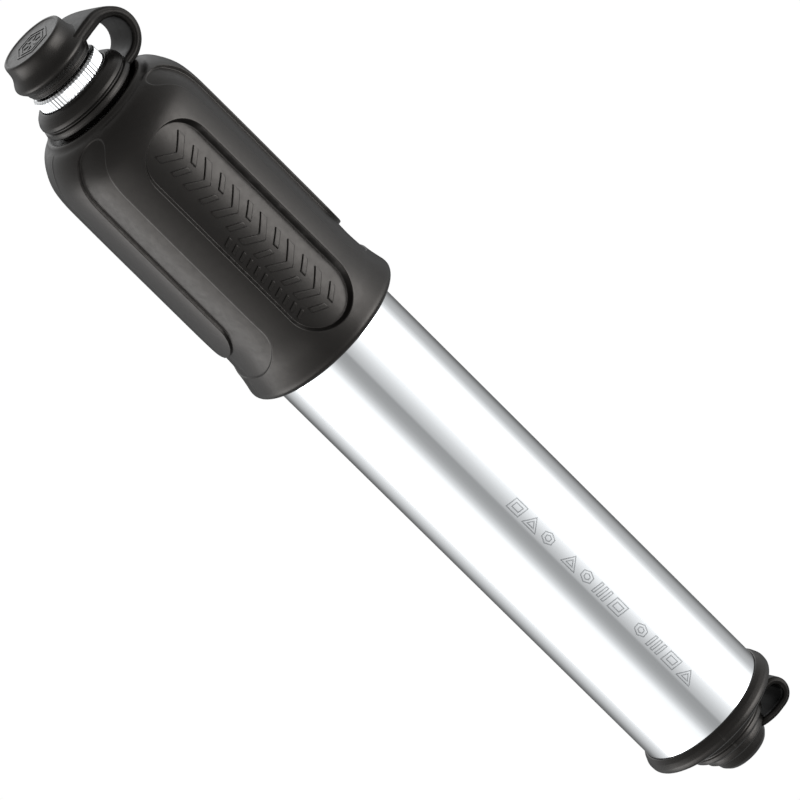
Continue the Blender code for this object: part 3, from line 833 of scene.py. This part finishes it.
def raised(name, polygons, place):
    """Bevelled solids on a surface, from anticlockwise polygons."""
    verts, faces = [], []
    for polygon in polygons:
        border = tread_border(polygon)
        count = len(border)
        ahead, behind = np.roll(border, -1, 0) - border, border - np.roll(border, 1, 0)
        inward = mitres(ahead, behind, least=0.35)
        loops = [add_cap(verts, faces, place, border, [], TREAD_FOOT, True)]
        for inset, drop in ((0.0, 1), (TREAD_BEVEL * 0.3, 0.3), (TREAD_BEVEL, 0)):
            start = len(verts)
            height = TREAD_TOP - TREAD_BEVEL * drop
            verts.extend(place(x, y, height) for x, y in border + inward * inset)
            loops.append(list(range(start, start + count)))
        inner = border + inward * (TREAD_BEVEL + 0.13)
        grid = face_grid(border, inner)
        loops.append(add_cap(verts, faces, place, inner, grid, TREAD_TOP, False))
        for lower, upper in zip(loops, loops[1:]):
            for i in range(count):
                j = (i + 1) % count
                faces.append((lower[i], lower[j], upper[j], upper[i]))
    return solid(name, verts, faces, sharp=62.0)


def chevron(x, z, half, rise, thick):
    """A chevron that points down."""
    return [
        (x - half, z + rise), (x - half, z + rise - thick), (x, z - thick),
        (x + half, z + rise - thick), (x + half, z + rise), (x, z),
    ]


def slab(x, z, width, height, slant):
    left, right = x - width / 2, x + width / 2
    low, high = z - height / 2, z + height / 2
    return [(left, low - slant), (right, low + slant), (right, high + slant), (left, high - slant)]


treads = []
for k in range(6):
    z = 149.4 - 6.5 * k
    treads.append(chevron(0.15, z, half=2.95, rise=2.1, thick=1.55))
    treads.append(slab(-1.55, z - 2.85, width=2.45, height=1.15, slant=-0.72))
    treads.append(slab(1.85, z - 2.85, width=2.45, height=1.15, slant=0.72))
dashes = [
    slab(-4.3, z, width=1.5, height=0.75, slant=0.25) for z in np.arange(115.5, 133.5, 1.72)
]
for name, polygons, turn in (
    ("grip_tread_front", treads + dashes, PANEL_TURN),
    ("grip_tread_back", treads, math.pi + PANEL_TURN),
):
    dress(raised(name, polygons, on_cylinder(PANEL_FLOOR, turn)), GRIP_RUBBER, "handle")


# ================================================================== barrel
turned(
    "barrel_tube_drawn", "barrel_tube", TUBE_METAL, "barrel",
    [
        (11.85, 148.0, 0.1), (TUBE_RADIUS, 147.8, 0.1), (TUBE_RADIUS, 10.7, 0.08),
        (11.2, 10.7, 0.08), (11.2, 148.0, 0.1),
    ],
    segments=256, pitch=4.0,
)


def stroke_points(points, closed):
    """A line with added points."""
    points = np.array(points, float)
    out = []
    for i in range(len(points) if closed else len(points) - 1):
        a, b = points[i], points[(i + 1) % len(points)]
        steps = max(1, math.ceil(np.linalg.norm(b - a) / 0.45))
        out += [a + (b - a) * k / steps for k in range(steps)]
    if not closed:
        out.append(points[-1])
    return np.array(out)


def strokes(name, lines, place, width, low, high):
    """Thin solid bands along (points, closed) lines."""
    verts, faces = [], []
    for corners, closed in lines:
        points = stroke_points(corners, closed)
        count = len(points)
        if closed:
            ahead, behind = np.roll(points, -1, 0) - points, points - np.roll(points, 1, 0)
        else:
            edges = points[1:] - points[:-1]
            ahead, behind = np.concatenate([edges, edges[-1:]]), np.concatenate([edges[:1], edges])
        base = len(verts)
        for point, leftward in zip(points, mitres(ahead, behind, least=0.5)):
            left, right = point + leftward * width / 2, point - leftward * width / 2
            for (x, y), height in ((left, low), (right, low), (right, high), (left, high)):
                verts.append(place(x, y, height))
        for i in range(count if closed else count - 1):
            a, b = base + 4 * i, base + 4 * ((i + 1) % count)
            for j in range(4):
                k = (j + 1) % 4
                faces.append((a + j, a + k, b + k, b + j))
        if not closed:
            faces.append(tuple(base + j for j in range(4)))
            end = base + 4 * (count - 1)
            faces.append(tuple(end + j for j in reversed(range(4))))
    return solid(name, verts, faces, weighted=False)


def hexagon(x, y, half_width, half_height):
    """A closed six-sided line."""
    angles = np.arange(0, 2 * math.pi, math.pi / 3)
    points = [(x + half_width * math.cos(a), y + half_height * math.sin(a)) for a in angles]
    return points, True


# Laser marks up the tube: outlined shapes in three groups
MARK_LEFT, MARK_RIGHT = -2.38, -0.2
MARK_HEIGHT, MARK_PITCH, GROUP_GAP = 3.2, 3.84, 1.95
MARK_LEAN = 0.45
MARK_HEX = 1.02


def tube_mark(kind, top):
    """The lines of one mark."""
    low = top - MARK_HEIGHT
    middle = (top + low) / 2
    left, right, lean = MARK_LEFT, MARK_RIGHT, MARK_LEAN
    if kind == 0:  # leaning box in a box
        inner_left, inner_right = left + 0.6, right - 0.55
        return [
            ([(left, top), (right, top - lean), (right, low), (left, low + lean)], True),
            ([
                (inner_left, top - 0.75), (inner_right, top - 0.95),
                (inner_right, low + 0.65), (inner_left, low + 0.9),
            ], True),
        ]
    if kind == 1:  # triangle in a triangle
        return [
            ([(left, top), (right, middle), (left, low)], True),
            ([(left + 0.45, top - 0.85), (right - 0.75, middle), (left + 0.45, low + 0.85)], True),
        ]
    if kind == 2:  # hexagon in a hexagon
        x = (left + right) / 2
        return [
            hexagon(x, middle, MARK_HEX, 1.3 * MARK_HEX),
            hexagon(x, middle, 0.5 * MARK_HEX, 0.6 * MARK_HEX),
        ]
    bars = []
    for k in range(3):
        z = top - k * 1.13
        bars.append(([
            (left, z), (right, z - lean), (right, z - lean - 0.5), (left, z - 0.5)
        ], True))
    return bars


marks = []
mark_top = 66.5
for group, count in enumerate((3, 4, 4)):
    for k in range(count):
        marks += tube_mark((k + group) % 4, mark_top)
        mark_top -= MARK_PITCH
    mark_top -= GROUP_GAP
etch = strokes(
    "tube_marks", marks, on_cylinder(TUBE_RADIUS), width=0.19, low=-0.05, high=0.012
)
dress(etch, ETCH, "barrel")

BOOT_SEAM = (-90 - 20.5) * DEG  # mould seam at the front, towards -X


def boot_shape(radius, z, angle):
    off = (angle - BOOT_SEAM + math.pi) % (2 * math.pi) - math.pi
    if radius > 7.0:
        radius += 0.05 * math.exp(-((off * radius / 0.13) ** 2))
    return radius, z


# lip on the tube, round belly, stepped underside
turned(
    "end_boot_moulding", "end_boot", SOFT_RUBBER, "barrel",
    [
        (12.04, 12.1, 0.04), (12.28, 12.08, 0.1), (12.74, 11.4, 0.6), (13.12, 10.5, 0.8),
        (13.08, 9.6, 0.5), (12.45, 9.15, 0.5), (11.4, 9.0, 0.5), (9.8, 8.7, 0.2),
        (9.5, 7.9, 0.25), (8.5, 7.4, 0.3), (7.75, 7.2, 0.15), (7.6, 6.6, 0.1),
        (7.45, 6.35, 0.06), (7.45, 6.15, 0.06), (7.6, 5.9, 0.1), (7.6, 5.25, 0.2),
        (7.2, 4.8, 0.12), (4.25, 4.8, 0.05), (4.25, 6.0, 0.05), (6.95, 6.0, 0.05),
        (6.95, 9.3, 0.05), (12.2, 9.3, 0.05), (12.2, 10.6, 0.05), (12.06, 10.75, 0.03),
    ],
    segments=240, shape=boot_shape,
    extra=[
        (BOOT_SEAM + off) % (2 * math.pi)
        for off in (-0.018, -0.012, -0.006, 0.0, 0.006, 0.012, 0.018)
    ],
)
turned(
    "port_plug_moulding", "port_plug", SOFT_RUBBER, "port_plug",
    [
        (0, 8.0), (2.1, 8.0, 0.15), (2.4, 7.5, 0.15), (2.4, 6.7, 0.1), (2.62, 6.5, 0.1),
        (2.62, 6.2, 0.1), (2.4, 6.0, 0.1), (2.4, 4.5, 0.15), (6.16, 4.5, 0.12),
        (6.24, 4.1, 0.15), (6.2, 3.32, 0.2), (5.92, 3.0, 0.2), (5.35, 2.78, 0.12),
        (5.2, 2.1, 0.3), (5.0, 1.3, 0.6), (4.3, 0.45, 0.8), (3.25, 0.03, 0.6),
        (1.6, 0.0, 0.3), (0, 0.0),
    ],
    segments=160,
)

# ================================================================== straps
STRAP_EDGE = 0.62  # how far the rounded edges reach in
FLAT_STEPS = 14


def strap_section(ridge):
    """(through, sideways, side) points round a strap. through is -1 to 1 across the thickness.
    On an edge, side is 1 or -1 and sideways is mm; on a flat, side is 0 and sideways -1 to 1."""
    half = (0.2, 0.36, 0.5, 0.64, 0.79, 0.9, 0.97, 1.0)
    edge = []
    for through in [-f for f in reversed(half)] + [0.0, *half]:
        groove = ridge * math.exp(-(((abs(through) - 0.43) / 0.12) ** 2))
        edge.append((through, -STRAP_EDGE * (1 - math.sqrt(1 - through * through)) - groove))
    section = [(through, sideways, 1) for through, sideways in edge]
    section += [(1.0, 1 - 2 * k / FLAT_STEPS, 0) for k in range(1, FLAT_STEPS)]
    section += [(through, sideways, -1) for through, sideways in reversed(edge)]
    section += [(-1.0, -1 + 2 * k / FLAT_STEPS, 0) for k in range(1, FLAT_STEPS)]
    return section


def mark_painted_shade(strap, verts, rows, section):
    """Paints shade: sets the attribute that takes the shine away to 1 on the flat whose through is
    1, and to 0 elsewhere.
    """
    attribute = strap.data.attributes.new("matte", "FLOAT", "POINT")
    count = rows * len(section)
    tree = KDTree(count)
    for k in range(count):
        tree.insert(Vector(verts[k]) * MM, k)
    tree.balance()
    for k, vert in enumerate(strap.data.vertices):
        through, _, side = section[tree.find(vert.co)[1] % len(section)]
        attribute.data[k].value = 1.0 if side == 0 and through == 1 else 0.0


def make_strap(name, path, widths, thicknesses, clear, turn=0.0, ridge=0.07, matte=False):
    """A flat strap along (out, z) points, turned about Z from +X.
    widths and thicknesses are (shares of the length, values). clear gives, for the start and
    the end, the least distance from the Z axis and the share of the length it holds for."""
    line = smooth_line(path, 7)
    lengths = np.concatenate([[0], np.cumsum(np.hypot(*np.diff(line, axis=0).T))])
    steps = max(8, int(lengths[-1] / 0.28))
    along = np.linspace(0, lengths[-1], steps + 1)
    out, z = np.interp(along, lengths, line[:, 0]), np.interp(along, lengths, line[:, 1])
    heading = np.stack([np.gradient(out, along), np.gradient(z, along)], 1)
    heading /= np.linalg.norm(heading, axis=1)[:, None]
    normal = np.stack([heading[:, 1], -heading[:, 0]], 1)
    share = along / lengths[-1]
    half = np.interp(share, *widths) / 2
    half_thick = np.interp(share, *thicknesses) / 2
    section = strap_section(ridge)
    (start_clear, start_share), (end_clear, end_share) = clear
    verts = []
    cos, sin = math.cos(turn), math.sin(turn)
    for i in range(len(along)):
        least = 0.0
        if share[i] < start_share:
            least = start_clear
        elif share[i] > 1 - end_share:
            least = end_clear
        for through, sideways, side in section:
            if side:
                across = side * (half[i] + sideways)
                off = through * half_thick[i]
            else:
                across = sideways * (half[i] - STRAP_EDGE)
                crown = 0.06 * (1 - (across / half[i]) ** 2)
                off = through * (half_thick[i] + crown)
            x, height = out[i] + normal[i, 0] * off, z[i] + normal[i, 1] * off
            if math.hypot(x, across) < least:
                x = math.sqrt(max(0.0, least**2 - across**2))
            verts.append((x * cos - across * sin, x * sin + across * cos, height))
    faces = swept_faces(verts, len(along), len(section))
    strap = solid(name, verts, faces, sharp=45.0, weighted=False)
    # painted shade on one flat, which loses its shine
    if matte:
        mark_painted_shade(strap, verts, len(along), section)
    strap.data.materials.append(STRAP_RUBBER)
    return strap


def bend(x, z, radius, start, end, steps):
    """An arc between two angles in degrees."""
    angles = [(start + (end - start) * k / steps) * DEG for k in range(steps + 1)]
    return on_arc(x, z, radius, angles)


cap_strap = make_strap(
    "cap_strap_moulding",
    [(5.6, 161.9), (7.0, 161.88), (8.2, 161.85)]
    + bend(9.15, 166.05, 4.2, -86, 52, 11)
    + [
        (10.85, 170.0), (9.6, 170.6), (8.3, 170.95), (7.0, 171.08), (5.9, 171.12),
        (4.6, 171.14), (3.2, 171.14),
    ],
    widths=([0, 0.12, 0.22, 0.6, 0.7, 0.8, 1], [9.6, 8.8, 8.3, 8.3, 9.2, 11.0, 12.4]),
    thicknesses=([0, 0.08, 0.58, 0.76, 1], [1.5, 1.7, 1.7, 2.4, 2.4]),
    clear=((7.05, 0.3), (5.62, 0.3)),
    turn=CAP_TURN,
)
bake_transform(cap_strap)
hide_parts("cap_strap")

# painted shade: the flat inside the bend loses its shine, for the shadow that the boot and the plug
# cast there
plug_strap = make_strap(
    "plug_strap_moulding",
    [(5.6, 6.78), (7.0, 6.76), (8.2, 6.7)]
    + bend(9.3, 4.4, 2.2, 78, -80, 10)
    + [(8.2, 2.15), (6.7, 2.2), (5.2, 2.52), (3.9, 2.82), (2.8, 2.95)],
    widths=([0, 0.2, 0.35, 0.7, 0.86, 0.91, 0.95, 1], [9.2, 9.0, 8.8, 8.8, 8.8, 8.4, 6.6, 5.4]),
    thicknesses=([0, 0.1, 0.9, 1], [1.3, 1.3, 1.3, 1.2]),
    clear=((7.05, 0.35), (2.6, 0.2)),
    ridge=0.05,
    matte=True,
)
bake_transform(plug_strap)
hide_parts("plug_strap")

# ================================================================== neck, cap and chuck
turned(
    "neck_ring_moulding", "neck_ring", SOFT_RUBBER, "handle",
    [
        (6.72, 165.55, 0.06), (7.02, 165.68, 0.12), (7.6, 165.33, 0.4), (8.25, 164.78, 0.5),
        (8.68, 164.06, 0.4), (8.78, 163.5, 0.15), (8.62, 163.2, 0.08), (8.4, 163.05, 0.06),
        (8.44, 162.88, 0.05), (8.82, 162.75, 0.12), (8.92, 162.25, 0.2), (8.84, 161.7, 0.2),
        (8.35, 161.3, 0.12), (7.6, 161.15, 0.1), (7.5, 160.55, 0.05), (6.95, 160.55, 0.05),
        (6.95, 164.7, 0.05), (6.72, 164.9, 0.05),
    ],
    segments=200,
)

# (radius, z) down the side of the cap
cap_flank = smooth_line(
    [
        (5.64, 175.39), (5.86, 175.26), (5.97, 174.98), (6.04, 174.6), (6.09, 174.1),
        (6.18, 173.51), (6.36, 172.87), (6.69, 172.25), (7.05, 171.73), (7.28, 171.28),
        (7.3, 170.86), (7.1, 170.43), (6.8, 170.02), (6.55, 169.66), (6.38, 169.38),
        (6.43, 169.2), (6.38, 169.04), (6.2, 168.94), (6.18, 168.82), (6.25, 168.68),
        (6.16, 168.5), (5.98, 168.34),
    ],
    4,
)
turned(
    "dust_cap_moulding", "dust_cap", SOFT_RUBBER, "dust_cap",
    [
        (0, CAP_FACE), (2.6, CAP_FACE, 0), (4.6, 175.18, 0.5), (5.15, 175.24, 0.2),
        (5.4, 175.38, 0.1),
    ]
    + [(float(radius), float(z), 0) for radius, z in cap_flank]
    + [(5.62, 168.3, 0.06), (5.48, 168.5, 0.08), (5.45, 171.9, 0.2), (0, 171.9)],
    segments=200,
)


def on_cap(x, y, height):
    return (x, y, CAP_FACE + height)


# two hexagons round six spokes
badge_lines = [hexagon(0, 0, radius, radius) for radius in (3.4, 2.5)]
for k in range(6):
    a = k * math.pi / 3 + math.pi / 6
    spoke = [(radius * math.cos(a), radius * math.sin(a)) for radius in (0.75, 1.75)]
    badge_lines.append((spoke, False))
badge = strokes("cap_badge", badge_lines, on_cap, width=0.34, low=-0.2, high=0.1)
dress(badge, SOFT_RUBBER, "dust_cap")

TEETH = 60
KNURL_LOW, KNURL_HIGH, KNURL_DEPTH = 161.2, 167.95, 0.17


def knurl(radius, z, angle):
    if radius > 6.3 and KNURL_LOW < z < KNURL_HIGH:
        turn = (angle * TEETH / (2 * math.pi)) % 1.0
        tooth = min(1.0, abs(turn - 0.5) * 2 * 1.35)  # 0 in the groove, 1 on the flat
        ramp = min(1.0, (KNURL_HIGH - z) / 0.25, (z - KNURL_LOW) / 0.2)
        radius -= KNURL_DEPTH * (1 - tooth) * max(0.0, ramp)
    return radius, z


turned(
    "knurled_chuck_turned", "knurled_chuck", KNURL_METAL, "hose",
    [
        (3.85, 171.0, 0.1), (4.45, 171.0, 0.12), (4.7, 170.7, 0.15), (4.7, 168.0, 0.1),
        (6.15, 168.0, 0.1), (6.6, 167.6, 0.15), (6.6, 161.35, 0.1), (6.2, 161.0, 0.1),
        (4.6, 161.0, 0.1), (4.6, 156.4, 0.15), (1.6, 156.4, 0.1), (1.6, 163.3, 0.1),
        (3.85, 163.3, 0.1),
    ],
    segments=TEETH * 8, shape=knurl, sharp=30.0,
)


# ================================================================== base plug and check valve
turned(
    "base_plug_turned", "base_plug", SATIN_METAL, "barrel",
    [
        (1.2, 21.0, 0.05), (10.4, 21.0), (10.8, 20.6), (10.8, 16.6), (9.5, 16.6), (9.5, 14.7),
        (10.8, 14.7), (10.8, 10.4), (11.85, 10.4), (11.85, 9.6), (6.6, 9.6), (6.6, 6.4, 0.2),
        (3.35, 6.4, 0.2), (3.35, 12.4), (3.2, 12.4), (3.2, 19.3), (1.2, 19.3, 0.05),
    ],
    segments=128,
)
base_seal = torus("base_plug_seal", major=10.3, minor=0.7, z=15.65, sides=96, around=20)
dress(base_seal, SEAL_RUBBER, "barrel", "base_plug_oring")
turned(
    "valve_poppet_disc", "valve_poppet", NYLON, "valve_poppet",
    [(0, 19.0), (2.3, 19.0, 0.15), (2.7, 18.6), (2.7, 18.0), (1.2, 17.9), (0, 17.9)],
    segments=72,
)
turned(
    "valve_retainer_ring", "valve_retainer", BRASS_METAL, "barrel",
    [(1.2, 13.7), (2.95, 13.7), (2.95, 12.6), (1.2, 12.6)],
    segments=72,
)
SPRING_FOOT, SPRING_TOP = 14.25, 17.35


def coil(name, radius, wire, turns, per_turn, around):
    """The spring. wire is the radius of the wire."""
    verts = []
    steps = turns * per_turn
    for k in range(steps + 1):
        angle = 2 * math.pi * k / per_turn
        z = SPRING_FOOT + (SPRING_TOP - SPRING_FOOT) * (k / steps)
        for j in range(around):
            lean = 2 * math.pi * j / around
            reach = radius + wire * math.cos(lean)
            height = z + wire * math.sin(lean)
            verts.append((reach * math.cos(angle), reach * math.sin(angle), height))
    faces = swept_faces(verts, steps + 1, around)
    return solid(name, verts, faces, sharp=50.0, weighted=False)


spring = coil("valve_spring_wire", radius=2.1, wire=0.24, turns=4, per_turn=36, around=12)
dress(spring, STEEL_METAL, "barrel", "valve_spring")
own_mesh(spring)

# ================================================================== gland, handle and piston
turned(
    "barrel_gland_turned", "barrel_gland", DARK_METAL, "barrel",
    [
        (6.7, 150.2, 0.15), (11.2, 150.2, 0.1), (11.85, 149.7, 0.15), (11.85, 148.3, 0.08),
        (10.9, 148.3, 0.05), (10.9, 140.5), (6.7, 140.5),
    ],
    segments=160,
)
turned(
    "gland_bush_moulded", "gland_bush", NYLON, "barrel",
    [(5.62, 149.9, 0.2), (6.4, 149.9), (6.4, 140.9), (5.62, 140.9, 0.2)],
    segments=96,
)
turned(
    "handle_sleeve_drawn", "handle_sleeve", SLEEVE_METAL, "handle",
    [(12.35, 151.9), (12.8, 151.9), (12.8, 108.5), (12.35, 108.5)],
    segments=160, pitch=6.0,
)
turned(
    "handle_cap_turned", "handle_cap", SATIN_METAL, "handle",
    [
        (4.9, 160.6), (6.9, 160.6), (6.9, 159.1), (9.5, 158.2, 0.5), (11.4, 156.0, 0.8),
        (12.4, 154.1, 0.6), (12.7, 152.9, 0.3), (12.7, 152.2), (12.0, 152.2), (12.0, 151.8),
        (5.8, 151.8), (5.8, 155.9), (4.9, 155.9),
    ],
    segments=128,
)
turned(
    "closing_bumper_washer", "closing_bumper", SEAL_RUBBER, "handle",
    [(5.8, 151.5, 0.2), (9.2, 151.5, 0.2), (9.2, 150.5, 0.25), (5.8, 150.5, 0.25)],
    segments=96,
)
turned(
    "piston_rod_drawn", "piston_rod", ROD_METAL, "handle",
    [(4.6, 155.6), (5.4, 155.6), (5.4, 25.5), (4.6, 25.5)],
    segments=128, pitch=5.0,
)
turned(
    "piston_head_turned", "piston_head", ACETAL, "handle",
    [
        (5.7, 36.0), (7.6, 36.0), (7.6, 34.5), (10.7, 34.5), (10.7, 33.4), (9.9, 33.4),
        (9.9, 30.6), (10.7, 30.6), (10.7, 29.4), (9.3, 29.4), (9.3, 25.4), (10.7, 25.4),
        (10.7, 23.3), (9.9, 22.5), (0, 22.5), (0, 25.2), (5.7, 25.2),
    ],
    segments=128,
)
turned(
    "piston_wear_band", "piston_wear_ring", PTFE, "handle",
    [(10.1, 33.1), (10.95, 33.1), (10.95, 30.9), (10.1, 30.9)],
    segments=128,
)
turned(
    "piston_bumper_washer", "piston_bumper", SEAL_RUBBER, "handle",
    [(5.65, 39.3), (8.0, 39.3, 0.2), (8.6, 38.7, 0.2), (8.6, 36.3), (5.65, 36.3)],
    segments=96,
)
turned(
    "piston_seal_ring", "piston_seal", SEAL_RUBBER, "piston_seal",
    [
        (9.55, 28.2), (10.7, 28.2, 0.2), (11.02, 27.6, 0.2), (11.02, 26.4, 0.2),
        (10.7, 25.8, 0.2), (9.55, 25.8),
    ],
    segments=128,
)

# ================================================================== hose
turned(
    "hose_tube_extruded", "hose_tube", HOSE_RUBBER, "hose",
    [(1.5, 147.2), (3.0, 147.2), (3.0, 37.0), (1.5, 37.0)],
    segments=64, pitch=2.5,
)
turned(
    "chuck_gasket_moulded", "chuck_gasket", SEAL_RUBBER, "hose",
    [(1.7, 165.6, 0.2), (3.4, 165.6, 0.15), (3.6, 165.3), (3.6, 163.6), (1.7, 163.6)],
    segments=80,
)


def ferrule_outline(low, high):
    """A sleeve with three crimp grooves."""
    outline = [(3.22, high), (3.8, high), (4.0, high - 0.3)]
    for k in range(3):
        z = high - 1.8 - k * 1.8
        outline += [
            (4.0, z + 0.5, 0.2), (3.78, z + 0.25, 0.15), (3.78, z - 0.25, 0.15),
            (4.0, z - 0.5, 0.2),
        ]
    return outline + [(4.0, low + 0.3), (3.8, low), (3.22, low)]


for end, low, high in (("upper", 140.0, 147.2), ("lower", 37.3, 44.5)):
    turned(
        f"{end}_ferrule_crimped", f"{end}_ferrule", BRASS_METAL, "hose",
        ferrule_outline(low, high),
        segments=80,
    )

THREAD_LOW, THREAD_HIGH = 27.9, 32.0
THREAD_PITCH, THREAD_DEPTH = 0.8, 0.3


def hose_thread(radius, z, angle):
    if 2.85 < radius < 3.0 and THREAD_LOW < z < THREAD_HIGH:
        turn = ((z - THREAD_LOW) / THREAD_PITCH - angle / (2 * math.pi)) % 1.0
        ramp = min(1.0, (z - THREAD_LOW) / THREAD_PITCH, (THREAD_HIGH - z) / THREAD_PITCH)
        radius -= THREAD_DEPTH * abs(2 * turn - 1) * ramp
    return radius, z


turned(
    "hose_end_turned", "hose_end_fitting", SATIN_METAL, "hose",
    [
        (1.5, 36.7), (4.1, 36.7), (4.1, 33.0), (2.9, 33.0), (2.9, 27.8), (2.5, 27.4),
        (1.5, 27.4),
    ],
    segments=96, shape=hose_thread, pitch=0.1, low=27.7, high=33.1,
)
hose_seal = torus("hose_end_seal", major=3.38, minor=0.35, z=32.45, sides=72, around=16)
dress(hose_seal, SEAL_RUBBER, "hose", "hose_end_oring")

# CAD pieces that keep their own meshes
for node, material in (("hose_coupler", SATIN_METAL), ("bleed_button", BRASS_METAL)):
    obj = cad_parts[node]
    for slot in obj.material_slots:
        slot.material = material


# ================================================================== stage, light, camera
CAMERA_AZIMUTH = -15.0 * DEG  # from the front towards +X, so this is towards -X
CAMERA_ELEVATION = 20.6 * DEG
CAMERA_ROLL = 45.3 * DEG
CAMERA_DISTANCE = 1.2444
TARGET_HEIGHT, TARGET_SHIFT = 0.08805, 0.00085  # the shift is to the right of the view


def make_camera():
    azimuth, elevation, roll = CAMERA_AZIMUTH, CAMERA_ELEVATION, CAMERA_ROLL
    level = math.cos(elevation)
    back = Vector((math.sin(azimuth) * level, -math.cos(azimuth) * level, math.sin(elevation)))
    right = Vector((math.cos(azimuth), math.sin(azimuth), 0.0))
    up = back.cross(right)
    target = Vector((0.0, 0.0, TARGET_HEIGHT)) + right * TARGET_SHIFT
    rolled_right = right * math.cos(roll) - up * math.sin(roll)
    rolled_up = up * math.cos(roll) + right * math.sin(roll)
    data = bpy.data.cameras.new("camera")
    data.sensor_width = 36.0
    data.lens = 343.5
    data.clip_start, data.clip_end = 0.05, 50.0
    camera = bpy.data.objects.new("camera", data)
    columns = (rolled_right, rolled_up, back, target + back * CAMERA_DISTANCE)
    camera.matrix_world = Matrix((*zip(*columns), (0, 0, 0, 1)))
    scene.collection.objects.link(camera)
    scene.camera = camera


def make_floor():
    """A glowing white floor, clear from below, that only the camera sees."""
    half, z = 6.0, -0.25
    mesh = bpy.data.meshes.new("floor")
    corners = [(-half, -half, z), (half, -half, z), (half, half, z), (-half, half, z)]
    mesh.from_pydata(corners, [], [(0, 1, 2, 3)])
    floor = bpy.data.objects.new("floor", mesh)
    scene.collection.objects.link(floor)
    material = bpy.data.materials.new("pale_floor")
    material.use_nodes = True
    graph = Graph(material.node_tree)
    graph.tree.nodes.clear()
    at = graph.add("TexCoord").outputs["Object"]
    cloud = graph.noise(at, scale=3.0, detail=2.0, roughness=0.5)
    tone = graph.mix(cloud, (1.0, 1.0, 1.0), (1.02, 1.02, 1.02))
    glow = graph.add("Emission", {"Color": tone, "Strength": 1.0}).outputs[0]
    clear = graph.add("BsdfTransparent").outputs[0]
    below = graph.add("NewGeometry").outputs["Backfacing"]
    surface = graph.add("MixShader", {0: below, 1: glow, 2: clear}).outputs[0]
    graph.add("OutputMaterial", {0: surface})
    mesh.materials.append(material)
    floor.visible_glossy = False
    floor.visible_diffuse = False
    floor.visible_shadow = False


# (degrees round from the camera azimuth, brightness) near the horizon
LOW_LIGHT = [
    (-180, 0.10), (-160, 0.15), (-150, 0.25), (-136, 0.50), (-120, 0.80), (-110, 1.1),
    (-104, 3.6), (-78, 3.6), (-64, 2.1), (-48, 1.3), (-34, 1.15), (-26, 0.76), (-18, 0.50),
    (-12, 0.40), (-6, 0.365), (1.0, 0.345), (3.5, 0.52), (6, 0.55), (12, 0.65), (18, 0.77),
    (26, 0.96), (33, 1.15), (42, 5.0), (70, 5.0), (86, 2.0), (104, 1.1), (110, 0.82),
    (120, 0.55), (136, 0.42), (156, 0.17), (180, 0.10),
]
# the same, higher up
HIGH_LIGHT = [
    (-180, 1.4), (-160, 1.0), (-140, 0.7), (-110, 0.55), (-85, 0.45), (-30, 0.36), (20, 0.32),
    (60, 0.36), (95, 0.45), (120, 0.55), (140, 0.7), (160, 1.0), (180, 1.4),
]
LIGHT_TOP = 5.0  # brightness at the top of each ramp


def light_ramp(graph, share, stops):
    """Brightness from a colour ramp over the whole circle."""
    ramp = graph.add("ValToRGB", {0: share})
    elements = ramp.color_ramp.elements
    elements[0].position = (stops[0][0] + 180) / 360
    elements[1].position = (stops[-1][0] + 180) / 360
    for angle, _ in stops[1:-1]:
        elements.new((angle + 180) / 360)
    for element, (_, value) in zip(sorted(elements, key=lambda e: e.position), stops):
        grey = value / LIGHT_TOP
        element.color = (grey, grey, grey, 1)
    return graph.calc("MULTIPLY", ramp.outputs["Color"], LIGHT_TOP)


def make_world():
    """A soft studio: a tall softbox on each side of the camera, a grey gap between them and a
    dim room. The camera itself sees plain white."""
    world = bpy.data.worlds.new("studio")
    scene.world = world
    world.use_nodes = True
    graph = Graph(world.node_tree)
    graph.tree.nodes.clear()
    direction = graph.add("TexCoord").outputs["Generated"]
    x, y, z = graph.add("SeparateXYZ", {0: direction}).outputs
    azimuth = graph.calc("ARCTAN2", x, graph.calc("MULTIPLY", y, -1.0))
    degrees = graph.calc("DEGREES", graph.calc("SUBTRACT", azimuth, CAMERA_AZIMUTH))
    wrapped = graph.calc("WRAP", degrees, 180.0, -180.0)
    share = graph.remap(wrapped, of=(-180, 180))
    low = light_ramp(graph, share, LOW_LIGHT)
    high = light_ramp(graph, share, HIGH_LIGHT)
    below = graph.remap(z, of=(-0.60, -0.37), to=(1.0, 0.0), smooth=True)
    floor_light = 0.30
    low = graph.mix_value(below, low, floor_light)
    overhead = graph.remap(z, of=(0.40, 0.85), to=(1.0, 0.7), smooth=True)
    high = graph.calc("MULTIPLY", high, overhead)
    lift = graph.remap(z, of=(-0.28, 0.32), smooth=True)
    light = graph.mix_value(lift, low, high)
    cool_white = (0.975, 0.99, 1.0)
    tinted = graph.mix(1.0, light, cool_white, blend_type="MULTIPLY")
    lamp = graph.add("Background", {"Color": tinted}).outputs[0]
    white = graph.add("Background", {"Color": (1, 1, 1, 1)}).outputs[0]
    seen = graph.add("LightPath").outputs["Is Camera Ray"]
    surface = graph.add("MixShader", {0: seen, 1: lamp, 2: white}).outputs[0]
    graph.add("OutputWorld", {0: surface})


make_camera()
make_floor()
make_world()
scene.view_settings.view_transform = "Standard"
scene.view_settings.look = "None"
scene.view_settings.exposure = 0.0
scene.view_settings.gamma = 1.0
